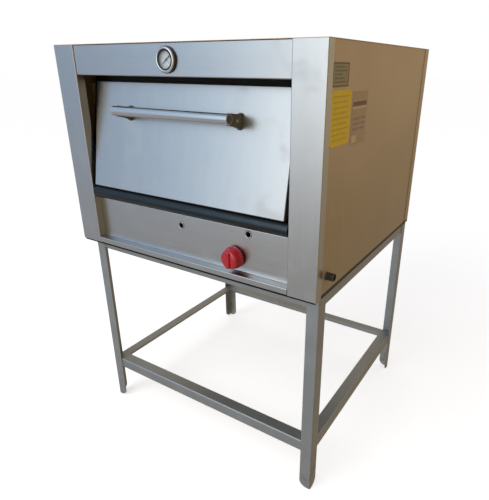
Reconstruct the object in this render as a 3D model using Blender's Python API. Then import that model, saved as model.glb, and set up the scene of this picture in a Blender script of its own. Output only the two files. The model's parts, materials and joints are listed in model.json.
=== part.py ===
"""Single-deck gas oven on an angle-iron stand, in metres, +Z up, front towards -Y."""

from math import cos, pi, sin, tan

import bmesh
import bpy
from mathutils import Matrix, Vector

for old in list(bpy.data.objects):
    bpy.data.objects.remove(old)

# Fits and stock
GAP = 0.0003
SHEET = 0.0012
ANGLE = 0.038
ANGLE_THICK = 0.0032
FOOT_ROUND = 0.026

# Body and stand
BODY_WIDTH = 0.875
BODY_DEPTH = 0.772
BODY_HEIGHT = 0.592
STAND_HEIGHT = 0.672
BODY_LIFT = 0.006
STAND_INSET = 0.0085
STAND_FRONT = 0.040
STAND_REAR_OUT = 0.016
LOW_RAIL_TOP = 0.176

# Front of the body
POST_WIDTH = 0.084
POST_WRAP = 0.026
BACK_WRAP = 0.042
JAMB_DEPTH = 0.026
JAMB_OUT = 0.030
BEND = 0.0022
HEADER_HEIGHT = 0.0785
HEADER_RECESS = 0.003
CONTROL_HEIGHT = 0.130
CONTROL_RECESS = 0.0235
LIP_HEIGHT = 0.0175
LEDGE_FALL = 0.0025
SIGHT_RADIUS = 0.0075
SIGHT_LEFT_X = -0.0115
SIGHT_RIGHT_X = 0.222
SIGHT_LEFT_DOWN = 0.0335
SIGHT_RIGHT_DOWN = 0.0155

# Door, hinge and handle
HINGE_RADIUS = 0.019
HINGE_WALL = 0.0022
HINGE_PLUG = 0.010
PIN_RADIUS = 0.005
PIN_HEAD_RADIUS = 0.0085
PIN_HEAD = 0.006
DOOR_LEAN = 0.189
DOOR_PROUD = 0.001
DOOR_THICK = 0.028
DOOR_SIDE_GAP = 0.01225
DOOR_TOP_GAP = 0.016
HANDLE_RADIUS = 0.0127
HANDLE_WALL = 0.0015
HANDLE_HALF = 0.197
HANDLE_STAND = 0.055
HANDLE_BELOW_TOP = 0.085
BRACKET_THICK = 0.010
BRACKET_IN = 0.0015
BRACKET_LIP = 0.0022
BRACKET_FOOT = 0.0205

# Thermometer
BEZEL_RADIUS = 0.0315
BEZEL_DEPTH = 0.010
CASE_RADIUS = 0.026
CASE_DEPTH = 0.020
DIAL_RADIUS = 0.0237
PROBE_RADIUS = 0.0016
PROBE_REACH = 0.085
PROBE_DROP = 0.112

# Chamber, deck and insulation
CHAMBER_MARGIN = 0.0285
CHAMBER_REAR_GAP = 0.072
ROOF_DROP = 0.025
WOOL = 0.075
RUNNER_WIDTH = 0.025
RUNNER_HEIGHT = 0.0342
DECK_THICK = 0.022
DECK_REAR_GAP = 0.050
BAFFLE_THICK = 0.002

# Gas train
KNOB_X = 0.1785
KNOB_DOWN = 0.0875
KNOB_RADIUS = 0.0315
KNOB_DEPTH = 0.035
KNOB_STANDOFF = 0.0045
KNOB_TRAVEL = 0.003
STEM_RADIUS = 0.004
VALVE_RADIUS = 0.016
PIPE_RADIUS = 0.01065
PIPE_BORE = 0.0079
PIPE_BACK = 0.034
PIPE_DOWN = 0.007
PIPE_OUT = 0.020
BURNER_RADIUS = 0.017
BURNER_WALL = 0.0015
BURNER_REAR_GAP = 0.080
BURNER_BEND = 0.060
REST_THICK = 0.002

# Flue
FLUE_RADIUS = 0.050
FLUE_FLANGE = 0.066
FLUE_OUT = 0.040
FLUE_BELOW_ROOF = 0.080

# Derived places, measured from the middle of the front face at floor level
HALF = BODY_WIDTH / 2
BASE_Z = STAND_HEIGHT + BODY_LIFT
TOP_Z = BASE_Z + BODY_HEIGHT
LID_Z = TOP_Z - SHEET
OPEN_HALF = HALF - POST_WIDTH
HEADER_Z = LID_Z - HEADER_HEIGHT
LEDGE_Z = BASE_Z + LIP_HEIGHT
CONTROL_Z = LEDGE_Z + CONTROL_HEIGHT
HINGE_Z = CONTROL_Z + HINGE_RADIUS + 0.005
DOOR_FACE = HINGE_RADIUS + DOOR_PROUD
HINGE_Y = (DOOR_FACE - sin(DOOR_LEAN) * HINGE_RADIUS) / cos(DOOR_LEAN)
DOOR_BACK = DOOR_THICK - DOOR_FACE
DOOR_HALF = OPEN_HALF - DOOR_SIDE_GAP
DOOR_FOOT = HINGE_RADIUS + GAP
DOOR_HEAD = (HEADER_Z - DOOR_TOP_GAP - HINGE_Z - DOOR_FACE * sin(DOOR_LEAN)) / cos(DOOR_LEAN)
HANDLE_UP = DOOR_HEAD - HANDLE_BELOW_TOP
HANDLE_FORE = DOOR_FACE + HANDLE_STAND
THERMO_Z = HEADER_Z + HEADER_HEIGHT / 2
CHAMBER_HALF = OPEN_HALF - CHAMBER_MARGIN
CHAMBER_REAR = BODY_DEPTH - CHAMBER_REAR_GAP
ROOF_Z = HEADER_Z - ROOF_DROP
PAN_Z = STAND_HEIGHT + GAP
FLOOR_Z = PAN_Z + SHEET + GAP
RUNNER_TOP = HINGE_Z
DECK_Z = RUNNER_TOP + GAP
DECK_FRONT = HINGE_Y + HINGE_RADIUS + 0.003
BAFFLE_Z = RUNNER_TOP - RUNNER_HEIGHT + SHEET + GAP
LINER_FRONT = CONTROL_RECESS + PIPE_BACK + PIPE_RADIUS + 0.0185
KNOB_Z = CONTROL_Z - KNOB_DOWN
PIPE_Y = CONTROL_RECESS + PIPE_BACK
PIPE_Z = KNOB_Z - PIPE_DOWN
VALVE_FRONT = CONTROL_RECESS + 0.021
VALVE_REAR = VALVE_FRONT + 0.040
VALVE_BORE = VALVE_FRONT + 0.024
MIXER_Y = VALVE_REAR + 0.033
BURNER_Y = MIXER_Y + 0.072
BURNER_REAR = CHAMBER_REAR - BURNER_REAR_GAP
FLUE_Z = ROOF_Z - FLUE_BELOW_ROOF
BACK_Y = BODY_DEPTH + FLUE_OUT
HANDLE_Y = HINGE_Y + HANDLE_UP * sin(DOOR_LEAN) - HANDLE_FORE * cos(DOOR_LEAN)
FORE_Y = min(HANDLE_Y - HANDLE_RADIUS, CONTROL_RECESS - KNOB_STANDOFF - KNOB_DEPTH)


# Builders


def paint(name, colour, roughness, metallic):
    made = bpy.data.materials.new(name)
    made.use_nodes = True
    shader = made.node_tree.nodes["Principled BSDF"]
    shader.inputs["Base Color"].default_value = (*colour, 1)
    shader.inputs["Roughness"].default_value = roughness
    shader.inputs["Metallic"].default_value = metallic
    return made


STEEL = ((0.62, 0.63, 0.65), 0.34, 1.0)
DARK_STEEL = ((0.22, 0.22, 0.23), 0.5, 1.0)
GREY_PAINT = ((0.30, 0.31, 0.33), 0.45, 0.3)
BROWN_PAINT = ((0.24, 0.185, 0.12), 0.4, 0.2)
ALUMINISED = ((0.42, 0.42, 0.41), 0.5, 0.9)
WOOL_LOOK = ((0.66, 0.62, 0.50), 0.95, 0.0)
STONE = ((0.55, 0.50, 0.43), 0.9, 0.0)
BRASS = ((0.60, 0.44, 0.18), 0.35, 1.0)
IRON = ((0.16, 0.16, 0.165), 0.6, 0.8)
BRONZE = ((0.10, 0.085, 0.065), 0.45, 0.7)
CHROME = ((0.80, 0.80, 0.81), 0.12, 1.0)
RED = ((0.55, 0.012, 0.03), 0.3, 0.0)
WHITE = ((0.80, 0.80, 0.78), 0.5, 0.0)
BLACK = ((0.02, 0.02, 0.02), 0.5, 0.0)
GLASS = ((0.85, 0.90, 0.90), 0.05, 0.0)


def empty(name, place, parent=None, turn=(0, 0, 0)):
    made = bpy.data.objects.new(name, None)
    made.location = place
    made.rotation_euler = turn
    made.parent = parent
    bpy.context.scene.collection.objects.link(made)
    return made


def node(name, bm, look, parent, place=(0, 0, 0), turn=(0, 0, 0), smooth=False):
    bmesh.ops.recalc_face_normals(bm, faces=bm.faces)
    mesh = bpy.data.meshes.new(name)
    bm.to_mesh(mesh)
    bm.free()
    made = bpy.data.objects.new(name, mesh)
    made.location = place
    made.rotation_euler = turn
    made.parent = parent
    bpy.context.scene.collection.objects.link(made)
    mesh.materials.append(paint(name, *look))
    if smooth:
        mesh.shade_smooth()
        mesh.set_sharp_from_angle(angle=0.6)
    return made


def cutter(name, bm, parent, place=(0, 0, 0), turn=(0, 0, 0)):
    made = node(name, bm, BLACK, parent, place, turn)
    made.hide_render = True
    made.display_type = "WIRE"
    return made


def boolean(target, tool, operation="DIFFERENCE"):
    made = target.modifiers.new(tool.name, "BOOLEAN")
    made.operation = operation
    made.solver = "EXACT"
    made.object = tool


def block(bm, low, high):
    size = [b - a for a, b in zip(low, high)]
    middle = [(a + b) / 2 for a, b in zip(low, high)]
    place = Matrix.Translation(middle) @ Matrix.Diagonal((*size, 1))
    return bmesh.ops.create_cube(bm, size=1, matrix=place)["verts"]


def box(low, high):
    bm = bmesh.new()
    block(bm, low, high)
    return bm


def prism(outline, axis, start, end, slant=0):
    """A closed outline pushed along an axis; slant draws both ends in as the outline's first value grows."""
    bm = bmesh.new()
    ring = []
    for u, v in outline:
        low = start + slant * u
        spot = {"X": (low, u, v), "Y": (u, low, v), "Z": (u, v, low)}[axis]
        ring.append(bm.verts.new(spot))
    face = bm.faces.new(ring)
    grown = bmesh.ops.extrude_face_region(bm, geom=[face])["geom"]
    index = "XYZ".index(axis)
    for vert in (g for g in grown if isinstance(g, bmesh.types.BMVert)):
        vert.co[index] = start + end - vert.co[index]
    return bm


def rounded(points, radius, steps=3):
    """An open folded line with its corners rounded."""
    line = [Vector(points[0])]
    for before, corner, after in zip(points, points[1:], points[2:]):
        corner = Vector(corner)
        back = (Vector(before) - corner).normalized()
        on = (Vector(after) - corner).normalized()
        half = back.angle(on) / 2
        reach = radius / tan(half)
        middle = corner + (back + on).normalized() * radius / sin(half)
        first = corner + back * reach - middle
        last = corner + on * reach - middle
        for step in range(steps + 1):
            line.append(middle + first.slerp(last, step / steps) * radius)
    line.append(Vector(points[-1]))
    return line


def folded(line, thick):
    """The closed outline of a sheet whose outer face follows the line, with its metal on the line's left."""
    inner = []
    for i, spot in enumerate(line):
        before = (spot - line[i - 1]).normalized() if i else None
        after = (line[i + 1] - spot).normalized() if i + 1 < len(line) else None
        before = before or after
        after = after or before
        left = Vector((-before.y - after.y, before.x + after.x)).normalized()
        stretch = 1 / max(left.dot(Vector((-before.y, before.x))), 0.4)
        inner.append(spot + left * thick * stretch)
    return [tuple(p) for p in line] + [tuple(p) for p in reversed(inner)]


def sheet(points, thick, axis, start, end, radius=None):
    return prism(folded(rounded(points, radius or thick * 1.6), thick), axis, start, end)


def lathe(profile, steps, closed=True):
    """A profile of (radius, along) turned about local Z."""
    bm = bmesh.new()
    verts = [bm.verts.new((r, 0, a)) for r, a in profile]
    pairs = list(zip(verts, verts[1:]))
    if closed:
        pairs.append((verts[-1], verts[0]))
    edges = [bm.edges.new(pair) for pair in pairs]
    bmesh.ops.spin(bm, geom=verts + edges, axis=(0, 0, 1), cent=(0, 0, 0), angle=2 * pi,
                   steps=steps, use_merge=True)
    bmesh.ops.remove_doubles(bm, verts=bm.verts, dist=1e-6)
    return bm


def sweep(path, radius, sides, normal, bore=0, shut_end=False):
    """A pipe along a path that lies in one plane; shut_end leaves the last step of a bored pipe solid."""
    bm = bmesh.new()
    outer = []
    inner = []
    for i, spot in enumerate(path):
        along = (path[min(i + 1, len(path) - 1)] - path[max(i - 1, 0)]).normalized()
        side = along.cross(normal)
        ring = [side * cos(2 * pi * k / sides) + normal * sin(2 * pi * k / sides) for k in range(sides)]
        outer.append([bm.verts.new(spot + way * radius) for way in ring])
        if bore:
            inner.append([bm.verts.new(spot + way * bore) for way in ring])
    if shut_end:
        bmesh.ops.delete(bm, geom=inner.pop(), context="VERTS")
    for rings in (outer, inner):
        for one, two in zip(rings, rings[1:]):
            for k in range(sides):
                bm.faces.new((one[k - 1], one[k], two[k], two[k - 1]))
    if not bore:
        bm.faces.new(outer[0])
        bm.faces.new(outer[-1])
        return bm
    for k in range(sides):
        bm.faces.new((outer[0][k - 1], outer[0][k], inner[0][k], inner[0][k - 1]))
        if not shut_end:
            bm.faces.new((outer[-1][k - 1], outer[-1][k], inner[-1][k], inner[-1][k - 1]))
    if shut_end:
        bm.faces.new(outer[-1])
        bm.faces.new(inner[-1])
    return bm


def corner_path(points, radius, steps=5):
    return [Vector(p) for p in rounded([Vector(p) for p in points], radius, steps)]


def rod(radius, start, end, steps=24):
    return lathe([(0, start), (radius, start), (radius, end), (0, end)], steps, closed=False)


def pipe(radius, bore, start, end, steps=28):
    return lathe([(bore, start), (radius, start), (radius, end), (bore, end)], steps)


def tray(low, high, wall, back):
    """A shallow box open towards +Y (back True) or -Y."""
    bm = box(low, high)
    way = Vector((0, 1 if back else -1, 0))
    bm.normal_update()
    face = next(f for f in bm.faces if f.normal.dot(way) > 0.9)
    bmesh.ops.inset_region(bm, faces=[face], thickness=wall, use_even_offset=True)
    grown = bmesh.ops.extrude_face_region(bm, geom=[face])["geom"]
    bmesh.ops.delete(bm, geom=[face], context="FACES")
    shift = way * (wall - (high[1] - low[1]))
    bmesh.ops.translate(bm, verts=[g for g in grown if isinstance(g, bmesh.types.BMVert)], vec=shift)
    return bm


FORWARD = (pi / 2, 0, 0)
SIDEWAYS = (0, pi / 2, 0)
BACKWARD = (-pi / 2, 0, 0)


# Stand


def leg(name, root, x, y, quarter):
    """Angle iron, corner outwards, the free corner of each flange rounded off at the foot."""
    wide, thick = ANGLE, ANGLE_THICK
    outline = [(0, 0), (wide, 0), (wide, thick), (thick, thick), (thick, wide), (0, wide)]
    bm = prism(outline, "Z", 0, STAND_HEIGHT)
    tips = []
    for edge in bm.edges:
        a, b = (v.co for v in edge.verts)
        if max(a.z, b.z) > 1e-6:
            continue
        if (a.x + b.x > 1.99 * ANGLE) or (a.y + b.y > 1.99 * ANGLE):
            tips.append(edge)
    bmesh.ops.bevel(bm, geom=tips, offset=FOOT_ROUND, segments=6, profile=0.5, affect="EDGES",
                    clamp_overlap=True, material=-1)
    node(name, bm, GREY_PAINT, root, (x, y, 0), (0, 0, quarter * pi / 2))


def rail(name, root, length, place, quarter):
    """Angle iron, mitred at both ends, its flat flange on top pointing inwards."""
    wide, thick = ANGLE, ANGLE_THICK
    outline = [(0, 0), (0, -wide), (thick, -wide), (thick, -thick), (wide, -thick), (wide, 0)]
    bm = prism(outline, "X", GAP - length / 2, length / 2 - GAP, slant=1)
    node(name, bm, GREY_PAINT, root, place, (0, 0, quarter * pi / 2))


def stand(root):
    side = HALF - STAND_INSET
    rear = BODY_DEPTH + STAND_REAR_OUT
    leg("leg_front_left", root, -side, STAND_FRONT, 0)
    leg("leg_front_right", root, side, STAND_FRONT, 1)
    leg("leg_rear_right", root, side, rear, 2)
    leg("leg_rear_left", root, -side, rear, 3)
    inset = ANGLE_THICK + GAP
    wide = 2 * (side - inset)
    deep = rear - STAND_FRONT - 2 * inset
    middle = (STAND_FRONT + rear) / 2
    for level, z in (("low", LOW_RAIL_TOP), ("top", STAND_HEIGHT)):
        rail(f"rail_{level}_front", root, wide, (0, STAND_FRONT + inset, z), 0)
        rail(f"rail_{level}_right", root, deep, (side - inset, middle, z), 1)
        rail(f"rail_{level}_rear", root, wide, (0, rear - inset, z), 2)
        rail(f"rail_{level}_left", root, deep, (inset - side, middle, z), 3)


# Body shell


def post(name, root, hand):
    """Folded post: face, return round the side and return into the opening, with the hinge pin's hole."""
    line = [(-HALF, POST_WRAP), (-HALF, 0), (-OPEN_HALF, 0), (-OPEN_HALF, JAMB_DEPTH)]
    outline = folded(rounded(line, BEND), SHEET)
    bm = prism([(hand * -x, y) for x, y in outline], "Z", BASE_Z, LID_Z - GAP)
    made = node(name, bm, STEEL, root)
    hole = cutter(name + "_hole", rod(PIN_RADIUS + GAP, -0.01, 0.01), root,
                  (hand * OPEN_HALF, HINGE_Y, HINGE_Z), SIDEWAYS)
    boolean(made, hole)


def header(root):
    high = LID_Z - GAP
    line = [(HEADER_RECESS + 0.015, high), (HEADER_RECESS, high), (HEADER_RECESS, HEADER_Z),
            (HEADER_RECESS + 0.025, HEADER_Z)]
    half = OPEN_HALF - GAP
    made = node("header_panel", sheet(line, SHEET, "X", -half, half), STEEL, root)
    hole = cutter("case_hole", rod(CASE_RADIUS + 0.0005, -0.02, 0.02, 40), root,
                  (0, HEADER_RECESS, THERMO_Z), FORWARD)
    boolean(made, hole)


def control(root):
    """One sheet: hem at the top, panel, ledge out to the front, lip and return."""
    line = [(CONTROL_RECESS + 0.012, CONTROL_Z), (CONTROL_RECESS, CONTROL_Z),
            (CONTROL_RECESS, LEDGE_Z + LEDGE_FALL), (0, LEDGE_Z), (0, BASE_Z), (0.020, BASE_Z)]
    half = OPEN_HALF - GAP
    made = node("control_panel", sheet(line, SHEET, "X", -half, half), STEEL, root)
    spots = [(SIGHT_LEFT_X, CONTROL_Z - SIGHT_LEFT_DOWN, SIGHT_RADIUS),
             (SIGHT_RIGHT_X, CONTROL_Z - SIGHT_RIGHT_DOWN, SIGHT_RADIUS),
             (KNOB_X, KNOB_Z, STEM_RADIUS + 0.003)]
    for i, (x, z, radius) in enumerate(spots):
        hole = cutter(f"panel_hole_{i}", rod(radius, -0.006, 0.006), root, (x, CONTROL_RECESS, z), FORWARD)
        boolean(made, hole)


def side_panel(name, root, hand):
    outer = HALF - SHEET - GAP
    low = (min(hand * outer, hand * (outer - SHEET)), SHEET + 2 * GAP, BASE_Z + 0.003)
    high = (max(hand * outer, hand * (outer - SHEET)), BODY_DEPTH - SHEET - GAP, LID_Z - GAP)
    made = node(name, box(low, high), BROWN_PAINT, root)
    if hand > 0:
        hole = cutter("inlet_hole", rod(PIPE_RADIUS + 0.001, -0.01, 0.01), root,
                      (outer, PIPE_Y, PIPE_Z), SIDEWAYS)
        boolean(made, hole)


def shell(root):
    post("post_left", root, -1)
    post("post_right", root, 1)
    header(root)
    control(root)
    side_panel("side_panel_left", root, -1)
    side_panel("side_panel_right", root, 1)
    node("top_cover", box((-HALF, 0, LID_Z), (HALF, BODY_DEPTH, TOP_Z)), BROWN_PAINT, root)
    wrap = BODY_DEPTH - BACK_WRAP
    line = [(HALF, wrap), (HALF, BODY_DEPTH), (-HALF, BODY_DEPTH), (-HALF, wrap)]
    back = node("back_panel", sheet(line, SHEET, "Z", BASE_Z, LID_Z - GAP), BROWN_PAINT, root)
    hole = cutter("back_hole", rod(FLUE_RADIUS + 0.0005, -0.01, 0.01, 40), root,
                  (0, BODY_DEPTH, FLUE_Z), FORWARD)
    boolean(back, hole)


def bottom_pan(root):
    """Tray that carries the shell, with air slots under the burner."""
    half = HALF - 2 * SHEET - 4 * GAP
    line = [(-half, PAN_Z + 0.027), (-half, PAN_Z), (half, PAN_Z), (half, PAN_Z + 0.027)]
    made = node("bottom_pan", sheet(line, SHEET, "Y", 0.003, BODY_DEPTH - SHEET - 3 * GAP), ALUMINISED, root)
    bm = bmesh.new()
    for y in (0.22, 0.34, 0.46):
        block(bm, (-0.14, y - 0.009, PAN_Z - 0.01), (0.14, y + 0.009, PAN_Z + 0.01))
    boolean(made, cutter("air_slots", bm, root))


# Chamber


def liner_side(name, root, hand):
    """Side wall from the pan to the roof, its front edge following the leaning door."""
    low = RUNNER_TOP + 0.0265
    behind = HINGE_Y + (DOOR_BACK + 0.0025) / cos(DOOR_LEAN)
    front = [behind + (z - HINGE_Z) * tan(DOOR_LEAN) for z in (low, ROOF_Z)]
    under = RUNNER_TOP - HINGE_RADIUS + 0.0015
    outline = [(LINER_FRONT, FLOOR_Z), (CHAMBER_REAR, FLOOR_Z), (CHAMBER_REAR, ROOF_Z), (front[1], ROOF_Z),
               (front[0], low), (DECK_FRONT, low), (DECK_FRONT, under), (LINER_FRONT, under)]
    inner = hand * CHAMBER_HALF
    outer = hand * (CHAMBER_HALF + SHEET)
    node(name, prism(outline, "X", min(inner, outer), max(inner, outer)), ALUMINISED, root)


def chamber(root):
    liner_side("liner_left", root, -1)
    liner_side("liner_right", root, 1)
    front = HINGE_Y + (ROOF_Z - HINGE_Z) * tan(DOOR_LEAN) + (DOOR_BACK + 0.004) / cos(DOOR_LEAN)
    half = CHAMBER_HALF + SHEET
    roof = node("liner_roof", box((-half, front, ROOF_Z + GAP), (half, CHAMBER_REAR, ROOF_Z + GAP + SHEET)),
                ALUMINISED, root)
    probe = cutter("probe_hole", rod(PROBE_RADIUS + 0.001, -0.01, 0.01, 16), root,
                   (0, HEADER_RECESS + CASE_DEPTH + PROBE_REACH, ROOF_Z))
    boolean(roof, probe)
    back_y = CHAMBER_REAR + GAP
    back = node("liner_back", box((-half, back_y, FLOOR_Z), (half, back_y + SHEET, ROOF_Z + GAP + SHEET)),
                ALUMINISED, root)
    hole = cutter("flue_hole", rod(FLUE_RADIUS - 0.003, -0.01, 0.01, 40), root, (0, back_y, FLUE_Z), FORWARD)
    boolean(back, hole)


def insulation(root):
    inner = CHAMBER_HALF + SHEET + 0.0025
    outer = min(inner + WOOL, HALF - 2 * SHEET - 0.003)
    rear = BODY_DEPTH - SHEET - 0.003
    top = ROOF_Z + GAP
    leaning = HINGE_Y + (top - HINGE_Z) * tan(DOOR_LEAN) + (DOOR_BACK + SHEET + 0.0005) / cos(DOOR_LEAN)
    front = max(LINER_FRONT + 0.0015, leaning + 0.001)
    for name, hand in (("insulation_left", -1), ("insulation_right", 1)):
        spots = sorted((hand * inner, hand * outer))
        node(name, box((spots[0], front, FLOOR_Z), (spots[1], rear, top)), WOOL_LOOK, root)
    roof = top + SHEET + 2 * GAP
    deep = HEADER_RECESS + CASE_DEPTH + PROBE_REACH + 0.012
    high = min(roof + WOOL, LID_Z - 0.004)
    node("insulation_top", box((-outer, deep, roof), (outer, rear, high)), WOOL_LOOK, root)
    start = CHAMBER_REAR + SHEET + 2 * GAP
    half = inner - 0.001
    back = node("insulation_back", box((-half, start, FLOOR_Z), (half, rear, top)), WOOL_LOOK, root)
    hole = cutter("wool_hole", rod(FLUE_RADIUS + 0.0005, -0.1, 0.1, 40), root, (0, rear, FLUE_Z), FORWARD)
    boolean(back, hole)


def mouth(frame):
    """Leaning frame that the door closes against: two jambs and a lintel."""
    plane = DOOR_BACK + 0.0005
    outer = OPEN_HALF + JAMB_OUT
    inner = CHAMBER_HALF + SHEET + 2 * GAP
    split = DOOR_HEAD - 0.027
    for name, hand in (("mouth_jamb_left", -1), ("mouth_jamb_right", 1)):
        line = [(inner, plane + 0.015), (inner, plane), (outer, plane)]
        outline = [(hand * x, y) for x, y in folded(rounded(line, 0.002), SHEET)]
        node(name, prism(outline, "Z", DOOR_FOOT + 0.010, split - GAP), ALUMINISED, frame)
    bm = box((-outer, plane, split), (outer, plane + SHEET, DOOR_HEAD + 0.018))
    node("mouth_lintel", bm, ALUMINISED, frame)


def deck(root):
    web = CHAMBER_HALF - GAP
    tip = web - RUNNER_WIDTH
    low = RUNNER_TOP - RUNNER_HEIGHT
    for name, hand in (("deck_runner_left", -1), ("deck_runner_right", 1)):
        line = [(tip, low), (web, low), (web, RUNNER_TOP), (tip, RUNNER_TOP)]
        outline = [(hand * x, z) for x, z in folded(rounded(line, 0.002), SHEET)]
        node(name, prism(outline, "Y", DECK_FRONT + 0.002, CHAMBER_REAR - 0.010), ALUMINISED, root)
    half = CHAMBER_HALF - 0.007
    bm = box((-half, DECK_FRONT, DECK_Z), (half, CHAMBER_REAR - DECK_REAR_GAP, DECK_Z + DECK_THICK))
    node("baking_deck", bm, STONE, root)
    half = web - SHEET - 0.001
    bm = box((-half, 0.130, BAFFLE_Z), (half, CHAMBER_REAR - 0.100, BAFFLE_Z + BAFFLE_THICK))
    node("flame_baffle", bm, DARK_STEEL, root)


# Gas train


def burner(root):
    """U-shaped tube burner: closed at its far end, a row of ports along the top."""
    points = [(KNOB_X, BURNER_Y), (KNOB_X, BURNER_REAR), (-KNOB_X, BURNER_REAR), (-KNOB_X, BURNER_Y - 0.03)]
    path = corner_path(points, BURNER_BEND)
    path.insert(-1, path[-1] + Vector((0, 0.002)))
    path = [Vector((p.x, p.y, KNOB_Z)) for p in path]
    bm = sweep(path, BURNER_RADIUS, 20, Vector((0, 0, 1)), BURNER_RADIUS - BURNER_WALL, shut_end=True)
    made = node("burner_tube", bm, IRON, root, smooth=True)
    bm = bmesh.new()
    length = BURNER_REAR - BURNER_BEND - BURNER_Y - 0.04
    for side in (KNOB_X, -KNOB_X):
        for i in range(12):
            y = BURNER_Y + 0.025 + length * i / 11
            bmesh.ops.create_cone(bm, cap_ends=True, segments=6, radius1=0.0016, radius2=0.0016, depth=0.012,
                                  matrix=Matrix.Translation((side, y, KNOB_Z + BURNER_RADIUS)))
    boolean(made, cutter("ports", bm, root))
    seat = KNOB_Z - BURNER_RADIUS - GAP - REST_THICK
    line = [(BURNER_REAR - 0.018, FLOOR_Z), (BURNER_REAR, FLOOR_Z),
            (BURNER_REAR, seat), (BURNER_REAR + 0.018, seat)]
    node("burner_rest", sheet(line, REST_THICK, "X", -0.03, 0.03, 0.003), ALUMINISED, root)


def mixer(root):
    """Cast bell that draws air in round the gas jet, and the brass jet itself."""
    bore = BURNER_RADIUS - BURNER_WALL
    profile = [(0.0205, 0), (0.023, 0), (0.023, 0.012), (0.0155, 0.034), (0.0155, 0.050), (0.0185, 0.060),
               (0.0185, 0.072 - GAP), (bore, 0.072 - GAP), (bore, 0.062), (0.0125, 0.050), (0.0125, 0.034),
               (0.0205, 0.011)]
    node("burner_mixer", lathe(profile, 28), IRON, root, (KNOB_X, MIXER_Y, KNOB_Z), BACKWARD, smooth=True)
    profile = [(0, 0), (0.008, 0), (0.008, 0.010), (0.0045, 0.012), (0.0045, 0.024), (0.003, 0.030),
               (0, 0.030)]
    node("gas_orifice", lathe(profile, 6, closed=False), BRASS, root,
         (KNOB_X, VALVE_REAR + GAP, KNOB_Z), BACKWARD)


def valve(root):
    """Brass valve body: barrel with the stem's bore, side branch to the manifold."""
    bore = STEM_RADIUS + 0.0004
    long = VALVE_REAR - VALVE_FRONT
    deep = VALVE_BORE - VALVE_FRONT
    profile = [(bore, 0), (0.011, 0), (0.011, 0.006), (VALVE_RADIUS, 0.008), (VALVE_RADIUS, long - 0.010),
               (0.012, long - 0.008), (0.012, long), (0, long), (0, deep), (bore, deep)]
    made = node("valve_body", lathe(profile, 28), BRASS, root,
                (KNOB_X, VALVE_FRONT, KNOB_Z), BACKWARD, smooth=True)
    bm = rod(PIPE_RADIUS + 0.0025, 0.006, VALVE_RADIUS + 0.010, 8)
    branch = cutter("branch", bm, root, (KNOB_X, PIPE_Y, PIPE_Z), SIDEWAYS)
    boolean(made, branch, "UNION")
    start = KNOB_X + VALVE_RADIUS + 0.010 + GAP
    node("manifold_pipe", pipe(PIPE_RADIUS, PIPE_BORE, start, HALF + PIPE_OUT), IRON, root,
         (0, PIPE_Y, PIPE_Z), SIDEWAYS, smooth=True)


def knob(root):
    """Knob on its stem, and the spring cup behind the panel that only slides."""
    axis = empty("knob_axis", (KNOB_X, CONTROL_RECESS, KNOB_Z), root)
    back = KNOB_STANDOFF
    front = back + KNOB_DEPTH
    r = KNOB_RADIUS
    bore = STEM_RADIUS + GAP
    seat = front - 0.010
    profile = [(bore, back), (r * 0.86, back), (r, back + 0.002), (r, back + 0.0085),
               (r * 0.95, back + 0.0110), (r * 0.87, front - 0.012), (r * 0.82, front - 0.0085),
               (r * 0.66, front - 0.0060),
               (0, front - 0.005), (0, seat - 0.002), (bore, seat - 0.002)]
    made = node("knob", lathe(profile, 32), RED, axis, (0, 0, 0), FORWARD, smooth=True)
    bm = bmesh.new()
    block(bm, (-0.0055, -front, -r * 0.72), (0.0055, -(front - 0.012), r * 0.72))
    ends = [e for e in bm.edges if abs(e.verts[0].co.x - e.verts[1].co.x) > 0.005
            and min(v.co.y for v in e.verts) < -(front - 0.001)]
    bmesh.ops.bevel(bm, geom=ends, offset=0.006, segments=4, profile=0.5, affect="EDGES", clamp_overlap=True,
                    material=-1)
    boolean(made, cutter("grip", bm, axis), "UNION")
    rear = VALVE_BORE - CONTROL_RECESS - KNOB_TRAVEL - 0.002
    profile = [(0, -rear), (STEM_RADIUS, -rear), (STEM_RADIUS, seat - 0.003), (0, seat - 0.003)]
    node("valve_stem", lathe(profile, 20, closed=False), STEEL, axis, (0, 0, 0), FORWARD, smooth=True)
    start = -(VALVE_FRONT - CONTROL_RECESS) + KNOB_TRAVEL + 0.002
    profile = [(bore, start), (0.010, start), (0.010, start + 0.001), (0.0065, start + 0.001),
               (0.0065, start + 0.006), (bore, start + 0.006)]
    node("valve_spring_cup", lathe(profile, 20), STEEL, axis, (0, 0, 0), FORWARD, smooth=True)


def flue(root):
    """Spigot with a flange on the back panel; its bore runs through to the chamber."""
    bore = FLUE_RADIUS - SHEET
    start = CHAMBER_REAR + 0.0025
    seat = BODY_DEPTH + GAP
    profile = [(bore, start), (FLUE_RADIUS, start), (FLUE_RADIUS, seat), (FLUE_FLANGE, seat),
               (FLUE_FLANGE, seat + SHEET), (FLUE_RADIUS, seat + SHEET), (FLUE_RADIUS, BACK_Y),
               (bore, BACK_Y)]
    node("flue_collar", lathe(profile, 40), ALUMINISED, root, (0, 0, FLUE_Z), BACKWARD, smooth=True)


# Door


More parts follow.
